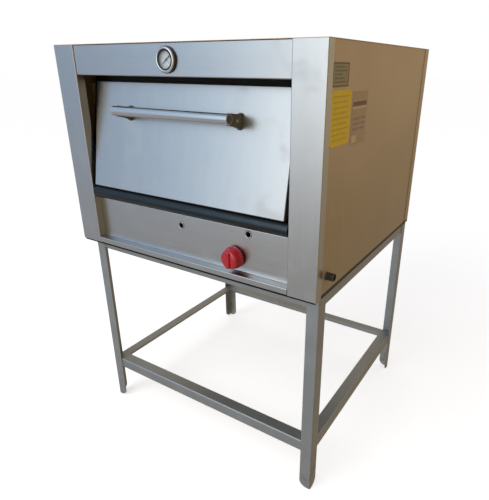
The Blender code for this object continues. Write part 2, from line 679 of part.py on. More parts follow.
def door(root):
    """Skin, wool and liner on the hinge tube; local Z runs up the door, local -Y out of its face."""
    axis = empty("door_axis", (0, HINGE_Y, HINGE_Z), root, (-DOOR_LEAN, 0, 0))
    rim = 0.002
    low = (-DOOR_HALF, -DOOR_FACE, DOOR_FOOT)
    high = (DOOR_HALF, DOOR_BACK - rim, DOOR_HEAD)
    node("door_skin", tray(low, high, SHEET, True), STEEL, axis)
    inset = SHEET + 2 * GAP
    low = (inset - DOOR_HALF, DOOR_BACK - 0.010, DOOR_FOOT + inset)
    high = (DOOR_HALF - inset, DOOR_BACK, DOOR_HEAD - inset)
    node("door_liner", tray(low, high, SHEET, False), ALUMINISED, axis)
    inset = 2 * SHEET + 3 * GAP
    low = (inset - DOOR_HALF, SHEET + GAP - DOOR_FACE, DOOR_FOOT + inset)
    high = (DOOR_HALF - inset, DOOR_BACK - SHEET - GAP, DOOR_HEAD - inset)
    node("door_insulation", box(low, high), WOOL_LOOK, axis)
    end = OPEN_HALF - 0.0015
    deep = end - HINGE_PLUG
    wall = HINGE_RADIUS - HINGE_WALL
    bore = PIN_RADIUS + GAP
    profile = [(bore, -end), (HINGE_RADIUS, -end), (HINGE_RADIUS, end), (bore, end),
               (bore, deep), (wall, deep), (wall, -deep), (bore, -deep)]
    node("hinge_tube", lathe(profile, 28), STEEL, axis, (0, 0, 0), SIDEWAYS, smooth=True)
    handle(axis)
    for name, hand in (("hinge_pin_left", -1), ("hinge_pin_right", 1)):
        seat = OPEN_HALF + SHEET + GAP
        profile = [(0, deep + GAP), (PIN_RADIUS, deep + GAP), (PIN_RADIUS, seat), (PIN_HEAD_RADIUS, seat),
                   (PIN_HEAD_RADIUS, seat + PIN_HEAD), (0, seat + PIN_HEAD)]
        bm = lathe([(r, hand * a) for r, a in profile], 20, closed=False)
        node(name, bm, DARK_STEEL, root, (0, HINGE_Y, HINGE_Z), SIDEWAYS, smooth=True)


def handle(axis):
    """Bright tube held from behind, near its ends, by two cast brackets that flare to feet on the door."""
    bore = HANDLE_RADIUS - HANDLE_WALL
    node("handle_tube", pipe(HANDLE_RADIUS, bore, -HANDLE_HALF, HANDLE_HALF), CHROME, axis,
         (0, -HANDLE_FORE, HANDLE_UP), SIDEWAYS, smooth=True)
    seat = HANDLE_RADIUS + GAP
    lip = seat + BRACKET_LIP
    grasp = 1.25
    turns = [grasp - 2 * grasp * k / 14 for k in range(15)]
    cup = [(seat * cos(a) - HANDLE_FORE, seat * sin(a)) for a in turns]
    foot = -DOOR_FACE - GAP
    flare = [(0.35, 0.98), (0.60, 1.02), (0.80, 1.13), (0.91, 1.26)]
    lower = [(lip * cos(grasp) - HANDLE_FORE, -lip * sin(grasp))]
    lower += [(-HANDLE_FORE + HANDLE_STAND * a, -lip * b) for a, b in flare]
    lower += [(foot - 0.003, -BRACKET_FOOT), (foot, -BRACKET_FOOT)]
    upper = [(y, -z) for y, z in reversed(lower)]
    outline = [(y, z + HANDLE_UP) for y, z in cup + lower + upper]
    for name, hand in (("handle_bracket_left", -1), ("handle_bracket_right", 1)):
        outer = hand * (HANDLE_HALF - BRACKET_IN)
        inner = hand * (HANDLE_HALF - BRACKET_IN - BRACKET_THICK)
        bm = prism(outline, "X", min(inner, outer), max(inner, outer))
        node(name, bm, BRONZE, axis)


# Thermometer


def thermometer(root):
    """Case with a bright bezel, dial, pointer and glass, and the probe that drops through the roof."""
    place = (0, HEADER_RECESS, THERMO_Z)
    r = BEZEL_RADIUS
    cup = DIAL_RADIUS + GAP
    lip = DIAL_RADIUS - 0.0006
    profile = [(0, -CASE_DEPTH), (CASE_RADIUS - 0.001, -CASE_DEPTH), (CASE_RADIUS, 0.001 - CASE_DEPTH),
               (CASE_RADIUS, GAP), (r, GAP), (r, 0.005), (r - 0.0012, 0.0080), (r - 0.0038, BEZEL_DEPTH),
               (lip, 0.0088), (lip, 0.0078), (cup, 0.0076), (cup, 0.0005), (0.001, 0.0005),
               (0.001, 0.0022), (0, 0.0022)]
    case = node("thermometer_case", lathe(profile, 40, closed=False), CHROME, root, place, FORWARD,
                smooth=True)
    rear = HEADER_RECESS + CASE_DEPTH
    far = rear + PROBE_REACH
    points = [(rear - 0.004, THERMO_Z), (far, THERMO_Z), (far, THERMO_Z - PROBE_DROP)]
    path = [Vector((0, p.x, p.y)) for p in corner_path(points, 0.012)]
    boolean(case, cutter("probe", sweep(path, PROBE_RADIUS, 10, Vector((1, 0, 0))), root), "UNION")
    profile = [(0.0014, 0.0008), (DIAL_RADIUS, 0.0008), (DIAL_RADIUS, 0.0016), (0.0014, 0.0016)]
    node("thermometer_dial", lathe(profile, 40), WHITE, root, place, FORWARD, smooth=True)
    outline = [(0.0032 * cos(a), 0.0032 * sin(a)) for a in (pi * (0.15 + 0.1 * k) for k in range(18))]
    outline.append((DIAL_RADIUS * 0.80, 0))
    bm = prism(outline, "Z", 0.0025, 0.0031)
    axis = empty("pointer_axis", place, root)
    node("thermometer_pointer", bm, BLACK, axis, (0, 0, 0), (pi / 2, pi * 0.80, 0))
    lens = lathe([(0, 0.0060), (DIAL_RADIUS, 0.0060), (DIAL_RADIUS, 0.0074), (0, 0.0074)], 40, closed=False)
    node("thermometer_lens", lens, GLASS, root, place, FORWARD, smooth=True)


def build():
    root = empty("oven", (-PIPE_OUT / 2, -(FORE_Y + BACK_Y) / 2, 0))
    stand(root)
    shell(root)
    bottom_pan(root)
    chamber(root)
    insulation(root)
    mouth(empty("mouth_axis", (0, HINGE_Y, HINGE_Z), root, (-DOOR_LEAN, 0, 0)))
    deck(root)
    burner(root)
    mixer(root)
    valve(root)
    knob(root)
    flue(root)
    door(root)
    thermometer(root)


build()
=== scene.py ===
import json
from math import atan2, cos, pi, radians, sin

import bmesh
import bpy
from mathutils import Matrix, Vector


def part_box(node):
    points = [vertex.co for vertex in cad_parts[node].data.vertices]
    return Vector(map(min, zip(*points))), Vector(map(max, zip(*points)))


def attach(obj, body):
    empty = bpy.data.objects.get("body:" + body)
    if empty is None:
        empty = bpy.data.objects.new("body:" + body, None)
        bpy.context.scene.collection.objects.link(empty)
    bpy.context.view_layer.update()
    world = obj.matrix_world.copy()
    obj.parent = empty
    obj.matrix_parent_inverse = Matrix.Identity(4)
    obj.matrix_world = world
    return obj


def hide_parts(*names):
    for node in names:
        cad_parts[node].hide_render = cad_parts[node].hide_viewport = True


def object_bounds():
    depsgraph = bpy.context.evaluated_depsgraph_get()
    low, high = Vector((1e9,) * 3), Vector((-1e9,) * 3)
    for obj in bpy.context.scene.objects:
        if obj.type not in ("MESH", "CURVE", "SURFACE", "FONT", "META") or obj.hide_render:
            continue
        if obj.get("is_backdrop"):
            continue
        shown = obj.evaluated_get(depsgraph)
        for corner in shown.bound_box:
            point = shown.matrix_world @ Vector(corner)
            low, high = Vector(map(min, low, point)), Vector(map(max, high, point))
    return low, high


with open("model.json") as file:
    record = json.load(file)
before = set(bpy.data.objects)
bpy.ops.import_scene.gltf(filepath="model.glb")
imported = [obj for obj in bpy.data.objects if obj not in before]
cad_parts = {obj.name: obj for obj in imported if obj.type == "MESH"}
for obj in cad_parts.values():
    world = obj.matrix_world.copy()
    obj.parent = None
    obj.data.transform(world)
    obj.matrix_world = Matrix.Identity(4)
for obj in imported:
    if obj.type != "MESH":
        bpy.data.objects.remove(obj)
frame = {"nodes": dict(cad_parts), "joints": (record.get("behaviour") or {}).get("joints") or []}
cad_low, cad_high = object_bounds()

# Stand: four legs and eight rails of 38 mm rolled angle iron, mitred, welded and sprayed silver grey.
# The legs stand with their corners outwards, and each foot has its two free corners ground round.


class Wire:
    """One output of a finish's shader nodes. Arithmetic on it adds Math nodes."""

    def __init__(self, socket):
        self.socket = socket
        self.tree = socket.id_data

    def via(self, kind, settings, inputs, output=0):
        """Adds a node of any type: its settings first, then the values or links of its sockets."""
        made = self.tree.nodes.new("ShaderNode" + kind)
        for name, value in settings.items():
            if name == "stops":
                for spare in made.color_ramp.elements[1:]:
                    made.color_ramp.elements.remove(spare)
                made.color_ramp.elements[0].position = value[0][0]
                made.color_ramp.elements[0].color = value[0][1]
                for place, colour in value[1:]:
                    made.color_ramp.elements.new(place).color = colour
            else:
                setattr(made, name, value)
        for name, value in inputs.items():
            if isinstance(value, Wire):
                self.tree.links.new(value.socket, made.inputs[name])
            else:
                made.inputs[name].default_value = value
        return Wire(made.outputs[output])

    def maths(self, operation, first, second=0.0):
        return self.via("Math", {"operation": operation}, {0: first, 1: second})

    def __add__(self, other):
        return self.maths("ADD", self, other)

    def __radd__(self, other):
        return self.maths("ADD", other, self)

    def __sub__(self, other):
        return self.maths("SUBTRACT", self, other)

    def __rsub__(self, other):
        return self.maths("SUBTRACT", other, self)

    def __mul__(self, other):
        return self.maths("MULTIPLY", self, other)

    def __rmul__(self, other):
        return self.maths("MULTIPLY", other, self)

    def __pow__(self, other):
        return self.maths("POWER", self, other)

    def parts(self):
        split = self.via("SeparateXYZ", {}, {0: self}).socket.node
        return [Wire(socket) for socket in split.outputs]

    def ramp(self, low, high, start=0.0, end=1.0):
        """Runs smoothly from start to end while this value goes from low to high."""
        settings = {"interpolation_type": "SMOOTHSTEP"}
        return self.via("MapRange", settings, {0: self, 1: low, 2: high, 3: start, 4: end})

    def grain(self, scale, detail=2.0, stretch=(1, 1, 1), rough=0.5, wave=0.0):
        """Noise over this place, in features per metre, drawn out along a direction by stretch."""
        spread = self.via("Mapping", {}, {"Vector": self, "Scale": stretch})
        sizes = {"Vector": spread, "Scale": scale, "Detail": detail, "Roughness": rough, "Distortion": wave}
        return self.via("TexNoise", {}, sizes)

    def colours(self, first, second):
        """The first colour where this value is 0, and the second where it is 1."""
        return self.via("Mix", {"data_type": "RGBA"}, {0: self, 6: first, 7: second}, 2)


class Finish:
    """A material, with the shader's fixed values set and its place on the object at hand."""

    def __init__(self, name, **fixed):
        self.material = bpy.data.materials.new(name)
        self.material.use_nodes = True
        self.tree = self.material.node_tree
        self.shader = self.tree.nodes["Principled BSDF"]
        self.place = Wire(self.tree.nodes.new("ShaderNodeTexCoord").outputs["Object"])
        for socket, value in fixed.items():
            self.shader.inputs[socket.replace("_", " ")].default_value = value

    def feed(self, socket, wire):
        self.tree.links.new(wire.socket, self.shader.inputs[socket])

    def bump(self, height, distance, strength=0.4):
        inputs = {"Height": height, "Distance": distance, "Strength": strength}
        self.feed("Normal", height.via("Bump", {}, inputs))

    def on(self, *nodes):
        """Gives this finish to CAD nodes that stay as they are."""
        for name in nodes:
            data = frame["nodes"][name].data
            data.materials.clear()
            data.materials.append(self.material)


def tint(red, green, blue):
    """A colour given as a paint chart gives it, 0 to 255, in the shader's linear numbers."""
    chart = [value / 255 for value in (red, green, blue)]
    return (*[v / 12.92 if v < 0.04045 else ((v + 0.055) / 1.055) ** 2.4 for v in chart], 1.0)


stand_paint = Finish("stand_paint", Metallic=0.72, Coat_Weight=0.15, Coat_Roughness=0.3)
here = stand_paint.place
clouds = here.grain(11, 4)
flake = here.grain(1400, 1)
peel = here.grain(420, 3)
runs = here.grain(26, 3, (1, 1, 0.12))
dust = (1 - here.parts()[2].ramp(0.0, 0.22)) * here.grain(34, 4).ramp(0.42, 0.72)
silver = (clouds * 0.7 + flake * 0.3).colours(tint(152, 159, 163), tint(190, 196, 200))
dusty = (dust * 0.45).colours(silver, tint(134, 122, 104))
stand_paint.feed("Base Color", dusty)
stand_paint.feed("Roughness", 0.30 + clouds * 0.14 + dust * 0.25 + runs * 0.06)
stand_paint.bump(peel + runs * 0.6, 0.0004, 0.25)


def placed(name, data):
    """An object of this mesh, text, lamp or camera in the scene."""
    made = bpy.data.objects.new(name, data)
    bpy.context.scene.collection.objects.link(made)
    return made


def fit(name, bm, finish, body, nodes=(), sharp=0.62, even=False, outward=True):
    """Makes a piece from a mesh that stands in its place, with its finish, riding on a body."""
    if outward:
        bmesh.ops.recalc_face_normals(bm, faces=bm.faces)
    mesh = bpy.data.meshes.new(name)
    bm.to_mesh(mesh)
    bm.free()
    mesh.shade_smooth()
    mesh.set_sharp_from_angle(angle=sharp)
    mesh.materials.append(finish.material)
    piece = placed(name, mesh)
    if even:
        flat = piece.modifiers.new("flat_faces_stay_flat", "WEIGHTED_NORMAL")
        flat.keep_sharp = True
    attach(piece, body)
    if nodes:
        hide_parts(*nodes)
    return piece


def verts_of(geom):
    return [item for item in geom if isinstance(item, bmesh.types.BMVert)]


def thicken(bm, face, by):
    """Draws a flat face out into a solid bar or plate."""
    grown = bmesh.ops.extrude_face_region(bm, geom=[face])["geom"]
    bmesh.ops.translate(bm, verts=verts_of(grown), vec=by)


def round_off(bm, what, offset, segments, affect="EDGES"):
    """Rounds edges or corners of a mesh to a radius."""
    bmesh.ops.bevel(bm, geom=what, offset=offset, segments=segments, profile=0.5, affect=affect, material=-1)


def block(bm, place, sizes):
    """Adds a box of these sizes, its middle at a place."""
    bmesh.ops.create_cube(bm, size=1, matrix=place @ Matrix.Diagonal((*sizes, 1)))


def moved(bm, matrix):
    """Turns and shifts a whole mesh."""
    bmesh.ops.transform(bm, matrix=matrix, verts=bm.verts)


ANGLE_THICK = 0.0032
HEEL_ROUND = 0.0042
ROOT_ROUND = 0.003
TOE_ROUND = 0.0014
FOOT_ROUND = 0.026


def angle_iron(wide, length):
    """A bar of angle iron along Z from its heel at the origin, flanges towards +X and +Y."""
    bm = bmesh.new()
    thick = ANGLE_THICK
    corners = [(0, 0), (wide, 0), (wide, thick), (thick, thick), (thick, wide), (0, wide)]
    ring = [bm.verts.new((x, y, 0)) for x, y in corners]
    bm.faces.new(ring)
    round_off(bm, [ring[0]], HEEL_ROUND, 5, "VERTICES")
    round_off(bm, [ring[3]], ROOT_ROUND, 4, "VERTICES")
    round_off(bm, [ring[1], ring[2], ring[4], ring[5]], TOE_ROUND, 3, "VERTICES")
    thicken(bm, bm.faces[:][0], (0, 0, length))
    return bm


def saw(bm, spot, way):
    """Cuts off what lies beyond a plane, and closes the cut."""
    bmesh.ops.bisect_plane(bm, geom=bm.verts[:] + bm.edges[:] + bm.faces[:], plane_co=spot, plane_no=way,
                           clear_outer=True)
    bmesh.ops.holes_fill(bm, edges=[edge for edge in bm.edges if edge.is_boundary])


corner_places = []
for quarter, corner in enumerate(("front_left", "front_right", "rear_right", "rear_left")):
    name = "leg_" + corner
    low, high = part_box(name)
    heel = Vector((high.x if quarter in (1, 2) else low.x, high.y if quarter in (2, 3) else low.y, low.z))
    wide = high.x - low.x
    bm = angle_iron(wide, high.z - low.z)
    for step in range(8):
        lean = radians(-84 + 12 * step)
        reach = wide - FOOT_ROUND + FOOT_ROUND * cos(lean)
        rise = FOOT_ROUND + FOOT_ROUND * sin(lean)
        saw(bm, (reach, 0, rise), (cos(lean), 0, sin(lean)))
        saw(bm, (0, reach, rise), (0, cos(lean), sin(lean)))
    turn = Matrix.Rotation(quarter * pi / 2, 4, "Z")
    moved(bm, Matrix.Translation(heel) @ turn)
    fit("stand_" + name, bm, stand_paint, "oven", [name], even=True)
    corner_places.append((heel, turn, wide))

for level in ("low", "top"):
    for quarter, side in enumerate(("front", "right", "rear", "left")):
        name = f"rail_{level}_{side}"
        low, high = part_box(name)
        middle = (low + high) / 2
        length = (high.x - low.x) if quarter in (0, 2) else (high.y - low.y)
        heel = ((middle.x, low.y), (high.x, middle.y), (middle.x, high.y), (low.x, middle.y))[quarter]
        bm = angle_iron(high.z - low.z, length)
        lay = Matrix(((0, 0, 1, -length / 2), (1, 0, 0, 0), (0, -1, 0, 0), (0, 0, 0, 1)))
        moved(bm, lay)
        saw(bm, (-length / 2, 0, 0), (-1, 1, 0))
        saw(bm, (length / 2, 0, 0), (1, 1, 0))
        moved(bm, Matrix.Translation((*heel, high.z)) @ Matrix.Rotation(quarter * pi / 2, 4, "Z"))
        fit("stand_" + name, bm, stand_paint, "oven", [name], even=True)

# Weld beads: each rail end is run to the legs' toes with a short rippled bead, under the paint.
# The beads are drawn as humps of a round bead pushed up the toe, one hump for each dab of the rod.

BEAD_RADIUS = 0.0023
DABS = 9


def bead(bm, foot, rise):
    """A rippled bead from foot, rise metres up."""
    start = bmesh.ops.create_circle(bm, cap_ends=True, radius=BEAD_RADIUS * 0.6, segments=8,
                                    matrix=Matrix.Translation(foot))["verts"]
    face = start[0].link_faces[0]
    radius = BEAD_RADIUS * 0.6
    for step in range(DABS * 2):
        grown = bmesh.ops.extrude_discrete_faces(bm, faces=[face])["faces"]
        face = grown[0]
        lift = rise / (DABS * 2)
        want = BEAD_RADIUS * (1.0 if step % 2 == 0 else 0.78) * (0.6 if step == DABS * 2 - 1 else 1)
        centre = Vector((foot[0], foot[1], foot[2] + lift * step))
        bmesh.ops.scale(bm, verts=face.verts, vec=(want / radius, want / radius, 1),
                        space=Matrix.Translation(-centre))
        bmesh.ops.translate(bm, verts=face.verts, vec=(0, 0, lift))
        radius = want


bm = bmesh.new()
for heel, turn, wide in corner_places:
    for level in ("low", "top"):
        low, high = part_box(f"rail_{level}_front")
        for toe in ((wide + 0.0006, ANGLE_THICK + 0.0002), (ANGLE_THICK + 0.0002, wide + 0.0006)):
            spot = heel + turn @ Vector((*toe, 0))
            bead(bm, (spot.x, spot.y, low.z + 0.003), high.z - low.z - 0.006)
fit("stand_weld_beads", bm, stand_paint, "oven")

# Front posts: 1.2 mm brushed stainless sheet, folded round the body's side and back into the opening.
# The grain of the sheet runs up and down.


def brushed(name, stretch, dark, light):
    """Brushed sheet: fine grain drawn out along one way, faint streaks and hand marks over it."""
    made = Finish(name, Metallic=1.0)
    place = made.place
    fine = place.grain(900, 2, stretch)
    coarse = place.grain(170, 3, stretch)
    streak = place.grain(34, 2, stretch)
    marks = place.grain(13, 4, wave=0.6).ramp(0.50, 0.80)
    shade = streak * 0.40 + coarse * 0.35 + fine * 0.25
    made.feed("Base Color", (shade - marks * 0.10).colours(dark, light))
    made.feed("Roughness", 0.235 + coarse * 0.07 + fine * 0.05 + marks * 0.10)
    made.bump(fine * 0.7 + coarse * 0.5, 0.0002, 0.22)
    return made


upright_steel = brushed("stainless_upright", (1, 1, 0.025), tint(190, 193, 196), tint(209, 211, 212))
level_steel = brushed("stainless_level", (0.03, 1, 1), tint(190, 193, 196), tint(209, 211, 212))
SHEET = 0.0012
BEND = 0.0022


def fold(points, axis, start, end):
    """Sheet folded along lines parallel to an axis; its outer face follows the points."""
    bm = bmesh.new()
    line = []
    for u, v in points:
        line.append(bm.verts.new({"X": (start, u, v), "Y": (u, start, v), "Z": (u, v, start)}[axis]))
    edges = [bm.edges.new(pair) for pair in zip(line, line[1:])]
    along = Vector([end - start if letter == axis else 0 for letter in "XYZ"])
    grown = bmesh.ops.extrude_edge_only(bm, edges=edges)["geom"]
    bmesh.ops.translate(bm, verts=verts_of(grown), vec=along)
    creases = [edge for edge in bm.edges if len(edge.link_faces) == 2]
    round_off(bm, creases, BEND, 5)
    bmesh.ops.recalc_face_normals(bm, faces=bm.faces)
    bmesh.ops.solidify(bm, geom=bm.faces[:], thickness=SHEET)
    return bm


def pierce(piece, tools):
    """Cuts the shapes of the tools out of a piece, and leaves the cut mesh."""
    helpers = []
    for bm in tools:
        mesh = bpy.data.meshes.new("punch")
        bmesh.ops.recalc_face_normals(bm, faces=bm.faces)
        bm.to_mesh(mesh)
        bm.free()
        punch = placed("punch", mesh)
        cut = piece.modifiers.new("punched", "BOOLEAN")
        cut.operation = "DIFFERENCE"
        cut.solver = "EXACT"
        cut.object = punch
        helpers.append(punch)
    bpy.context.view_layer.update()
    graph = bpy.context.evaluated_depsgraph_get()
    cut_mesh = bpy.data.meshes.new_from_object(piece.evaluated_get(graph))
    piece.modifiers.clear()
    piece.data = cut_mesh
    cut_mesh.shade_smooth()
    cut_mesh.set_sharp_from_angle(angle=0.62)
    for punch in helpers:
        bpy.data.objects.remove(punch)
    flat = piece.modifiers.new("flat_faces_stay_flat", "WEIGHTED_NORMAL")
    flat.keep_sharp = True


def turned(profile, steps, place):
    """A profile of (radius, along) turned round local Z and put in its place."""
    bm = bmesh.new()
    line = [bm.verts.new((radius, 0, along)) for radius, along in profile]
    edges = [bm.edges.new(pair) for pair in zip(line, line[1:])]
    bmesh.ops.spin(bm, geom=line + edges, axis=(0, 0, 1), cent=(0, 0, 0), angle=2 * pi, steps=steps,
                   use_merge=True)
    bmesh.ops.remove_doubles(bm, verts=bm.verts, dist=1e-6)
    bmesh.ops.dissolve_degenerate(bm, dist=1e-7, edges=bm.edges)
    moved(bm, place)
    return bm


def gather(bm, part):
    """Adds a finished small part to a mesh that holds several."""
    mesh = bpy.data.meshes.new("part")
    part.to_mesh(mesh)
    part.free()
    bm.from_mesh(mesh)
    bpy.data.meshes.remove(mesh)


FORWARD = Matrix.Rotation(pi / 2, 4, "X")
BACKWARD = Matrix.Rotation(-pi / 2, 4, "X")
SIDEWAYS = Matrix.Rotation(pi / 2, 4, "Y")
hinge = next(joint for joint in frame["joints"] if joint["name"] == "door_hinge")
HINGE_AT = Vector(hinge["pos_m"])
DOOR_LEAN = radians(hinge["range_deg"][1] - 90)
oven_x = (cad_low.x + cad_high.x) / 2

for name, hand in (("post_left", -1), ("post_right", 1)):
    low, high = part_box(name)
    outer, inner = (low.x, high.x) if hand < 0 else (high.x, low.x)
    bm = fold([(outer, high.y), (outer, low.y), (inner, low.y), (inner, high.y)], "Z", low.z, high.z)
    piece = fit("front_" + name, bm, upright_steel, "oven", [name], even=True)
    bore = turned([(0, -0.01), (0.0053, -0.01), (0.0053, 0.01), (0, 0.01)], 24,
                  Matrix.Translation((inner, HINGE_AT.y, HINGE_AT.z)) @ SIDEWAYS)
    pierce(piece, [bore])

# Header: one folded strip of the same stainless between the posts, grain lengthways.
# Its top and bottom edges turn in, and the thermometer's case passes through a punched hole.

low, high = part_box("header_panel")
dial_low, dial_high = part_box("thermometer_dial")
DIAL_AT = Vector(((dial_low.x + dial_high.x) / 2, low.y, (dial_low.z + dial_high.z) / 2))
bm = fold([(low.y + 0.015, high.z), (low.y, high.z), (low.y, low.z), (high.y, low.z)], "X", low.x, high.x)
piece = fit("front_header", bm, level_steel, "oven", ["header_panel"], even=True)
pierce(piece, [turned([(0, -0.02), (0.0266, -0.02), (0.0266, 0.02), (0, 0.02)], 40,
                      Matrix.Translation(DIAL_AT) @ FORWARD)])

# Control panel: one sheet with a turned-in hem at its top, a ledge out to the front face and a lip.
# Two sight holes have pressed rims, and the valve's stem comes through a third.

low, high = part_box("control_panel")
post_face = low.y
panel_y = frame["joints"][2]["pos_m"][1]
knob_at = Vector(frame["joints"][2]["pos_m"])
LIP = 0.0175
LEDGE_FALL = 0.0025
bm = fold([(panel_y + 0.012, high.z), (panel_y, high.z), (panel_y, low.z + LIP + LEDGE_FALL),
           (low.y, low.z + LIP), (low.y, low.z), (low.y + 0.020, low.z)], "X", low.x, high.x)
piece = fit("front_control_panel", bm, level_steel, "oven", ["control_panel"], even=True)
SIGHT_RADIUS = 0.0075
sights = [(low.x + 0.3417, high.z - 0.0335), (low.x + 0.5752, high.z - 0.0155)]
punches = []
for x, z in sights:
    punches.append(turned([(0, -0.006), (SIGHT_RADIUS, -0.006), (SIGHT_RADIUS, 0.006), (0, 0.006)], 32,
                          Matrix.Translation((x, panel_y, z)) @ FORWARD))
punches.append(turned([(0, -0.006), (0.007, -0.006), (0.007, 0.006), (0, 0.006)], 32,
                      Matrix.Translation((knob_at.x, panel_y, knob_at.z)) @ FORWARD))
pierce(piece, punches)
for side, (x, z) in zip(("left", "right"), sights):
    rim = [(0.0072, -0.004), (0.0072, 0.0006), (0.0080, 0.0016), (0.0096, 0.0019), (0.0108, 0.0012),
           (0.0114, 0.0002), (0.0080, 0.0002), (0.0079, -0.004), (0.0072, -0.004)]
    bm = turned(rim, 36, Matrix.Translation((x, panel_y, z)) @ FORWARD)
    fit("sight_rim_" + side, bm, level_steel, "oven")

# Side panels, lid and back: flat sheet in a brown baked enamel, fixed to the posts and the pan.
# The lid is held by countersunk screws and the back by hex washer-head ones; the sides are plain.

brown_paint = Finish("brown_paint", Metallic=0.15, Coat_Weight=0.25, Coat_Roughness=0.22)
here = brown_paint.place
_, deep_in, up = here.parts()
clouds = here.grain(4.5, 4)
peel = here.grain(330, 3)
specks = here.grain(160, 2).ramp(0.70, 0.78)
inlet_low, inlet_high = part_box("manifold_pipe")
behind_inlet, over_inlet = deep_in - inlet_low.y, up - inlet_high.z
band_in = behind_inlet.ramp(-0.02, 0.02) * (1 - behind_inlet.ramp(0.10, 0.20))
band_up = over_inlet.ramp(0, 0.03) * (1 - over_inlet.ramp(0.14, 0.30))
rubs = band_in * band_up * here.grain(120, 3, (1, 1, 0.05)).ramp(0.52, 0.66)
wipes = here.grain(22, 3, (1, 0.25, 1), wave=0.8)
# Painted light: the brown runs paler towards the top of the panels, standing in for light falling more
# strongly on their upper part.
painted_light_upward = up.ramp(inlet_low.z, inlet_low.z + 0.55)
brown = (clouds * 0.4 + wipes * 0.15 + painted_light_upward * 0.45).colours(tint(162, 146, 110), tint(224, 200, 174))
panel_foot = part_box("side_panel_right")[0].z
speckled = (specks * 0.35).colours(brown, tint(112, 96, 74))
# Painted shadow: a near-black band along the foot of the side panels stands in for the shadow gap between the
# body and the stand.
painted_shadow_line = (1 - up.ramp(panel_foot + 0.005, panel_foot + 0.008)) * 0.95
rubbed = (rubs * 0.4).colours(speckled, tint(206, 190, 162))
brown_paint.feed("Base Color", painted_shadow_line.colours(rubbed, tint(26, 22, 18)))
brown_paint.feed("Roughness", 0.34 + wipes * 0.14 + rubs * 0.15)
brown_paint.bump(peel + wipes * 0.4, 0.0004, 0.2)
brown_paint.on("side_panel_left", "side_panel_right", "top_cover", "back_panel")

zinc = Finish("zinc_screw", Metallic=1.0)
here = zinc.place
mottle = here.grain(700, 3)
zinc.feed("Base Color", mottle.colours(tint(158, 158, 152), tint(196, 195, 188)))
zinc.feed("Roughness", 0.26 + mottle * 0.2)
zinc.bump(mottle, 0.0002, 0.3)
low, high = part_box("top_cover")
bm = bmesh.new()
EDGE_IN = 0.020
along_sides = [(x, low.y + share * (high.y - low.y)) for share in (0.32, 0.66)
               for x in (low.x + EDGE_IN, high.x - EDGE_IN)]
across_ends = [(low.x + share * (high.x - low.x), y) for share in (0.06, 0.35, 0.65, 0.94)
               for y in (low.y + EDGE_IN, high.y - EDGE_IN)]
for x, y in across_ends + along_sides:
    head = turned([(0, -0.0002), (0.0044, -0.0002), (0.0044, 0.0002), (0.0040, 0.0004), (0.0018, 0.0005),
                   (0.0011, 0.0000), (0, -0.0001)], 24, Matrix.Translation((x, y, high.z)))
    gather(bm, head)
fit("lid_screws", bm, zinc, "oven", sharp=0.5)

low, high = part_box("back_panel")
EDGE_IN = 0.018
spots = [(x, low.z + share * (high.z - low.z)) for share in (0.06, 0.35, 0.65, 0.94)
         for x in (low.x + EDGE_IN, high.x - EDGE_IN)]
spots += [(low.x + share * (high.x - low.x), z) for share in (0.3, 0.5, 0.7)
          for z in (low.z + EDGE_IN, high.z - EDGE_IN)]
HEAD = 0.0042
washer = [(0, 0.0001), (HEAD * 1.35, 0.0001), (HEAD * 1.35, 0.0006), (HEAD, 0.0011), (0, 0.0011)]
hexagon = [(0, 0.0009), (HEAD, 0.0009), (HEAD, 0.0034), (HEAD * 0.86, 0.0040), (HEAD * 0.55, 0.0040),
           (HEAD * 0.45, 0.0033), (0, 0.0033)]
bm = bmesh.new()
for x, z in spots:
    for profile, steps in ((washer, 20), (hexagon, 6)):
        gather(bm, turned(profile, steps, Matrix.Translation((x, high.y, z)) @ BACKWARD))
fit("back_screws", bm, zinc, "oven", sharp=0.5)

# Flue collar: a spun spigot of aluminised sheet, its flange riveted to the back panel.
# Its free end is rolled over, and it takes a 100 mm stove pipe.

aluminised = Finish("aluminised", Metallic=0.85)
here = aluminised.place
cells = here.via("TexVoronoi", {}, {"Vector": here, "Scale": 105.0}, "Color").parts()[0]
stains = here.grain(14, 4, wave=1.0).ramp(0.48, 0.75)
fine = here.grain(520, 2)
plain = (cells * 0.6 + fine * 0.4).colours(tint(146, 147, 146), tint(178, 179, 177))
aluminised.feed("Base Color", (stains * 0.55).colours(plain, tint(128, 112, 90)))
aluminised.feed("Roughness", 0.34 + cells * 0.16 + stains * 0.16)
aluminised.bump(cells * 0.6 + fine * 0.4, 0.0002, 0.25)

low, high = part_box("flue_collar")
middle = Vector(((low.x + high.x) / 2, 0, (low.z + high.z) / 2))
back_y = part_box("back_panel")[1].y
flange = (high.x - low.x) / 2
spigot = 0.050
bore = spigot - SHEET
RIVET_CIRCLE = 0.0585
profile = [(bore, low.y), (spigot, low.y), (spigot, back_y + 0.0003), (flange, back_y + 0.0003),
           (flange, back_y + 0.0011), (flange - 0.0005, back_y + 0.0015), (spigot + 0.003, back_y + 0.0015),
           (spigot + 0.0008, back_y + 0.0022), (spigot, back_y + 0.0040), (spigot, high.y - 0.0120),
           (spigot + 0.0009, high.y - 0.0105), (spigot + 0.0009, high.y - 0.0085), (spigot, high.y - 0.0070),
           (spigot, high.y - 0.0006), (spigot - 0.0006, high.y), (bore, high.y), (bore, low.y)]
bm = turned(profile, 72, Matrix.Translation(middle) @ BACKWARD)
fit("flue_spigot", bm, aluminised, "oven", ["flue_collar"], sharp=0.5)
bm = bmesh.new()
for quarter in range(4):
    turn = quarter * pi / 2 + pi / 4
    at = middle + Vector((RIVET_CIRCLE * cos(turn), back_y + 0.0014, RIVET_CIRCLE * sin(turn)))
    rivet = [(0, 0), (0.0034, 0), (0.0032, 0.0009), (0.0022, 0.0017), (0.001, 0.0020), (0, 0.0021)]
    gather(bm, turned(rivet, 20, Matrix.Translation(at) @ BACKWARD))
fit("flue_rivets", bm, aluminised, "oven")
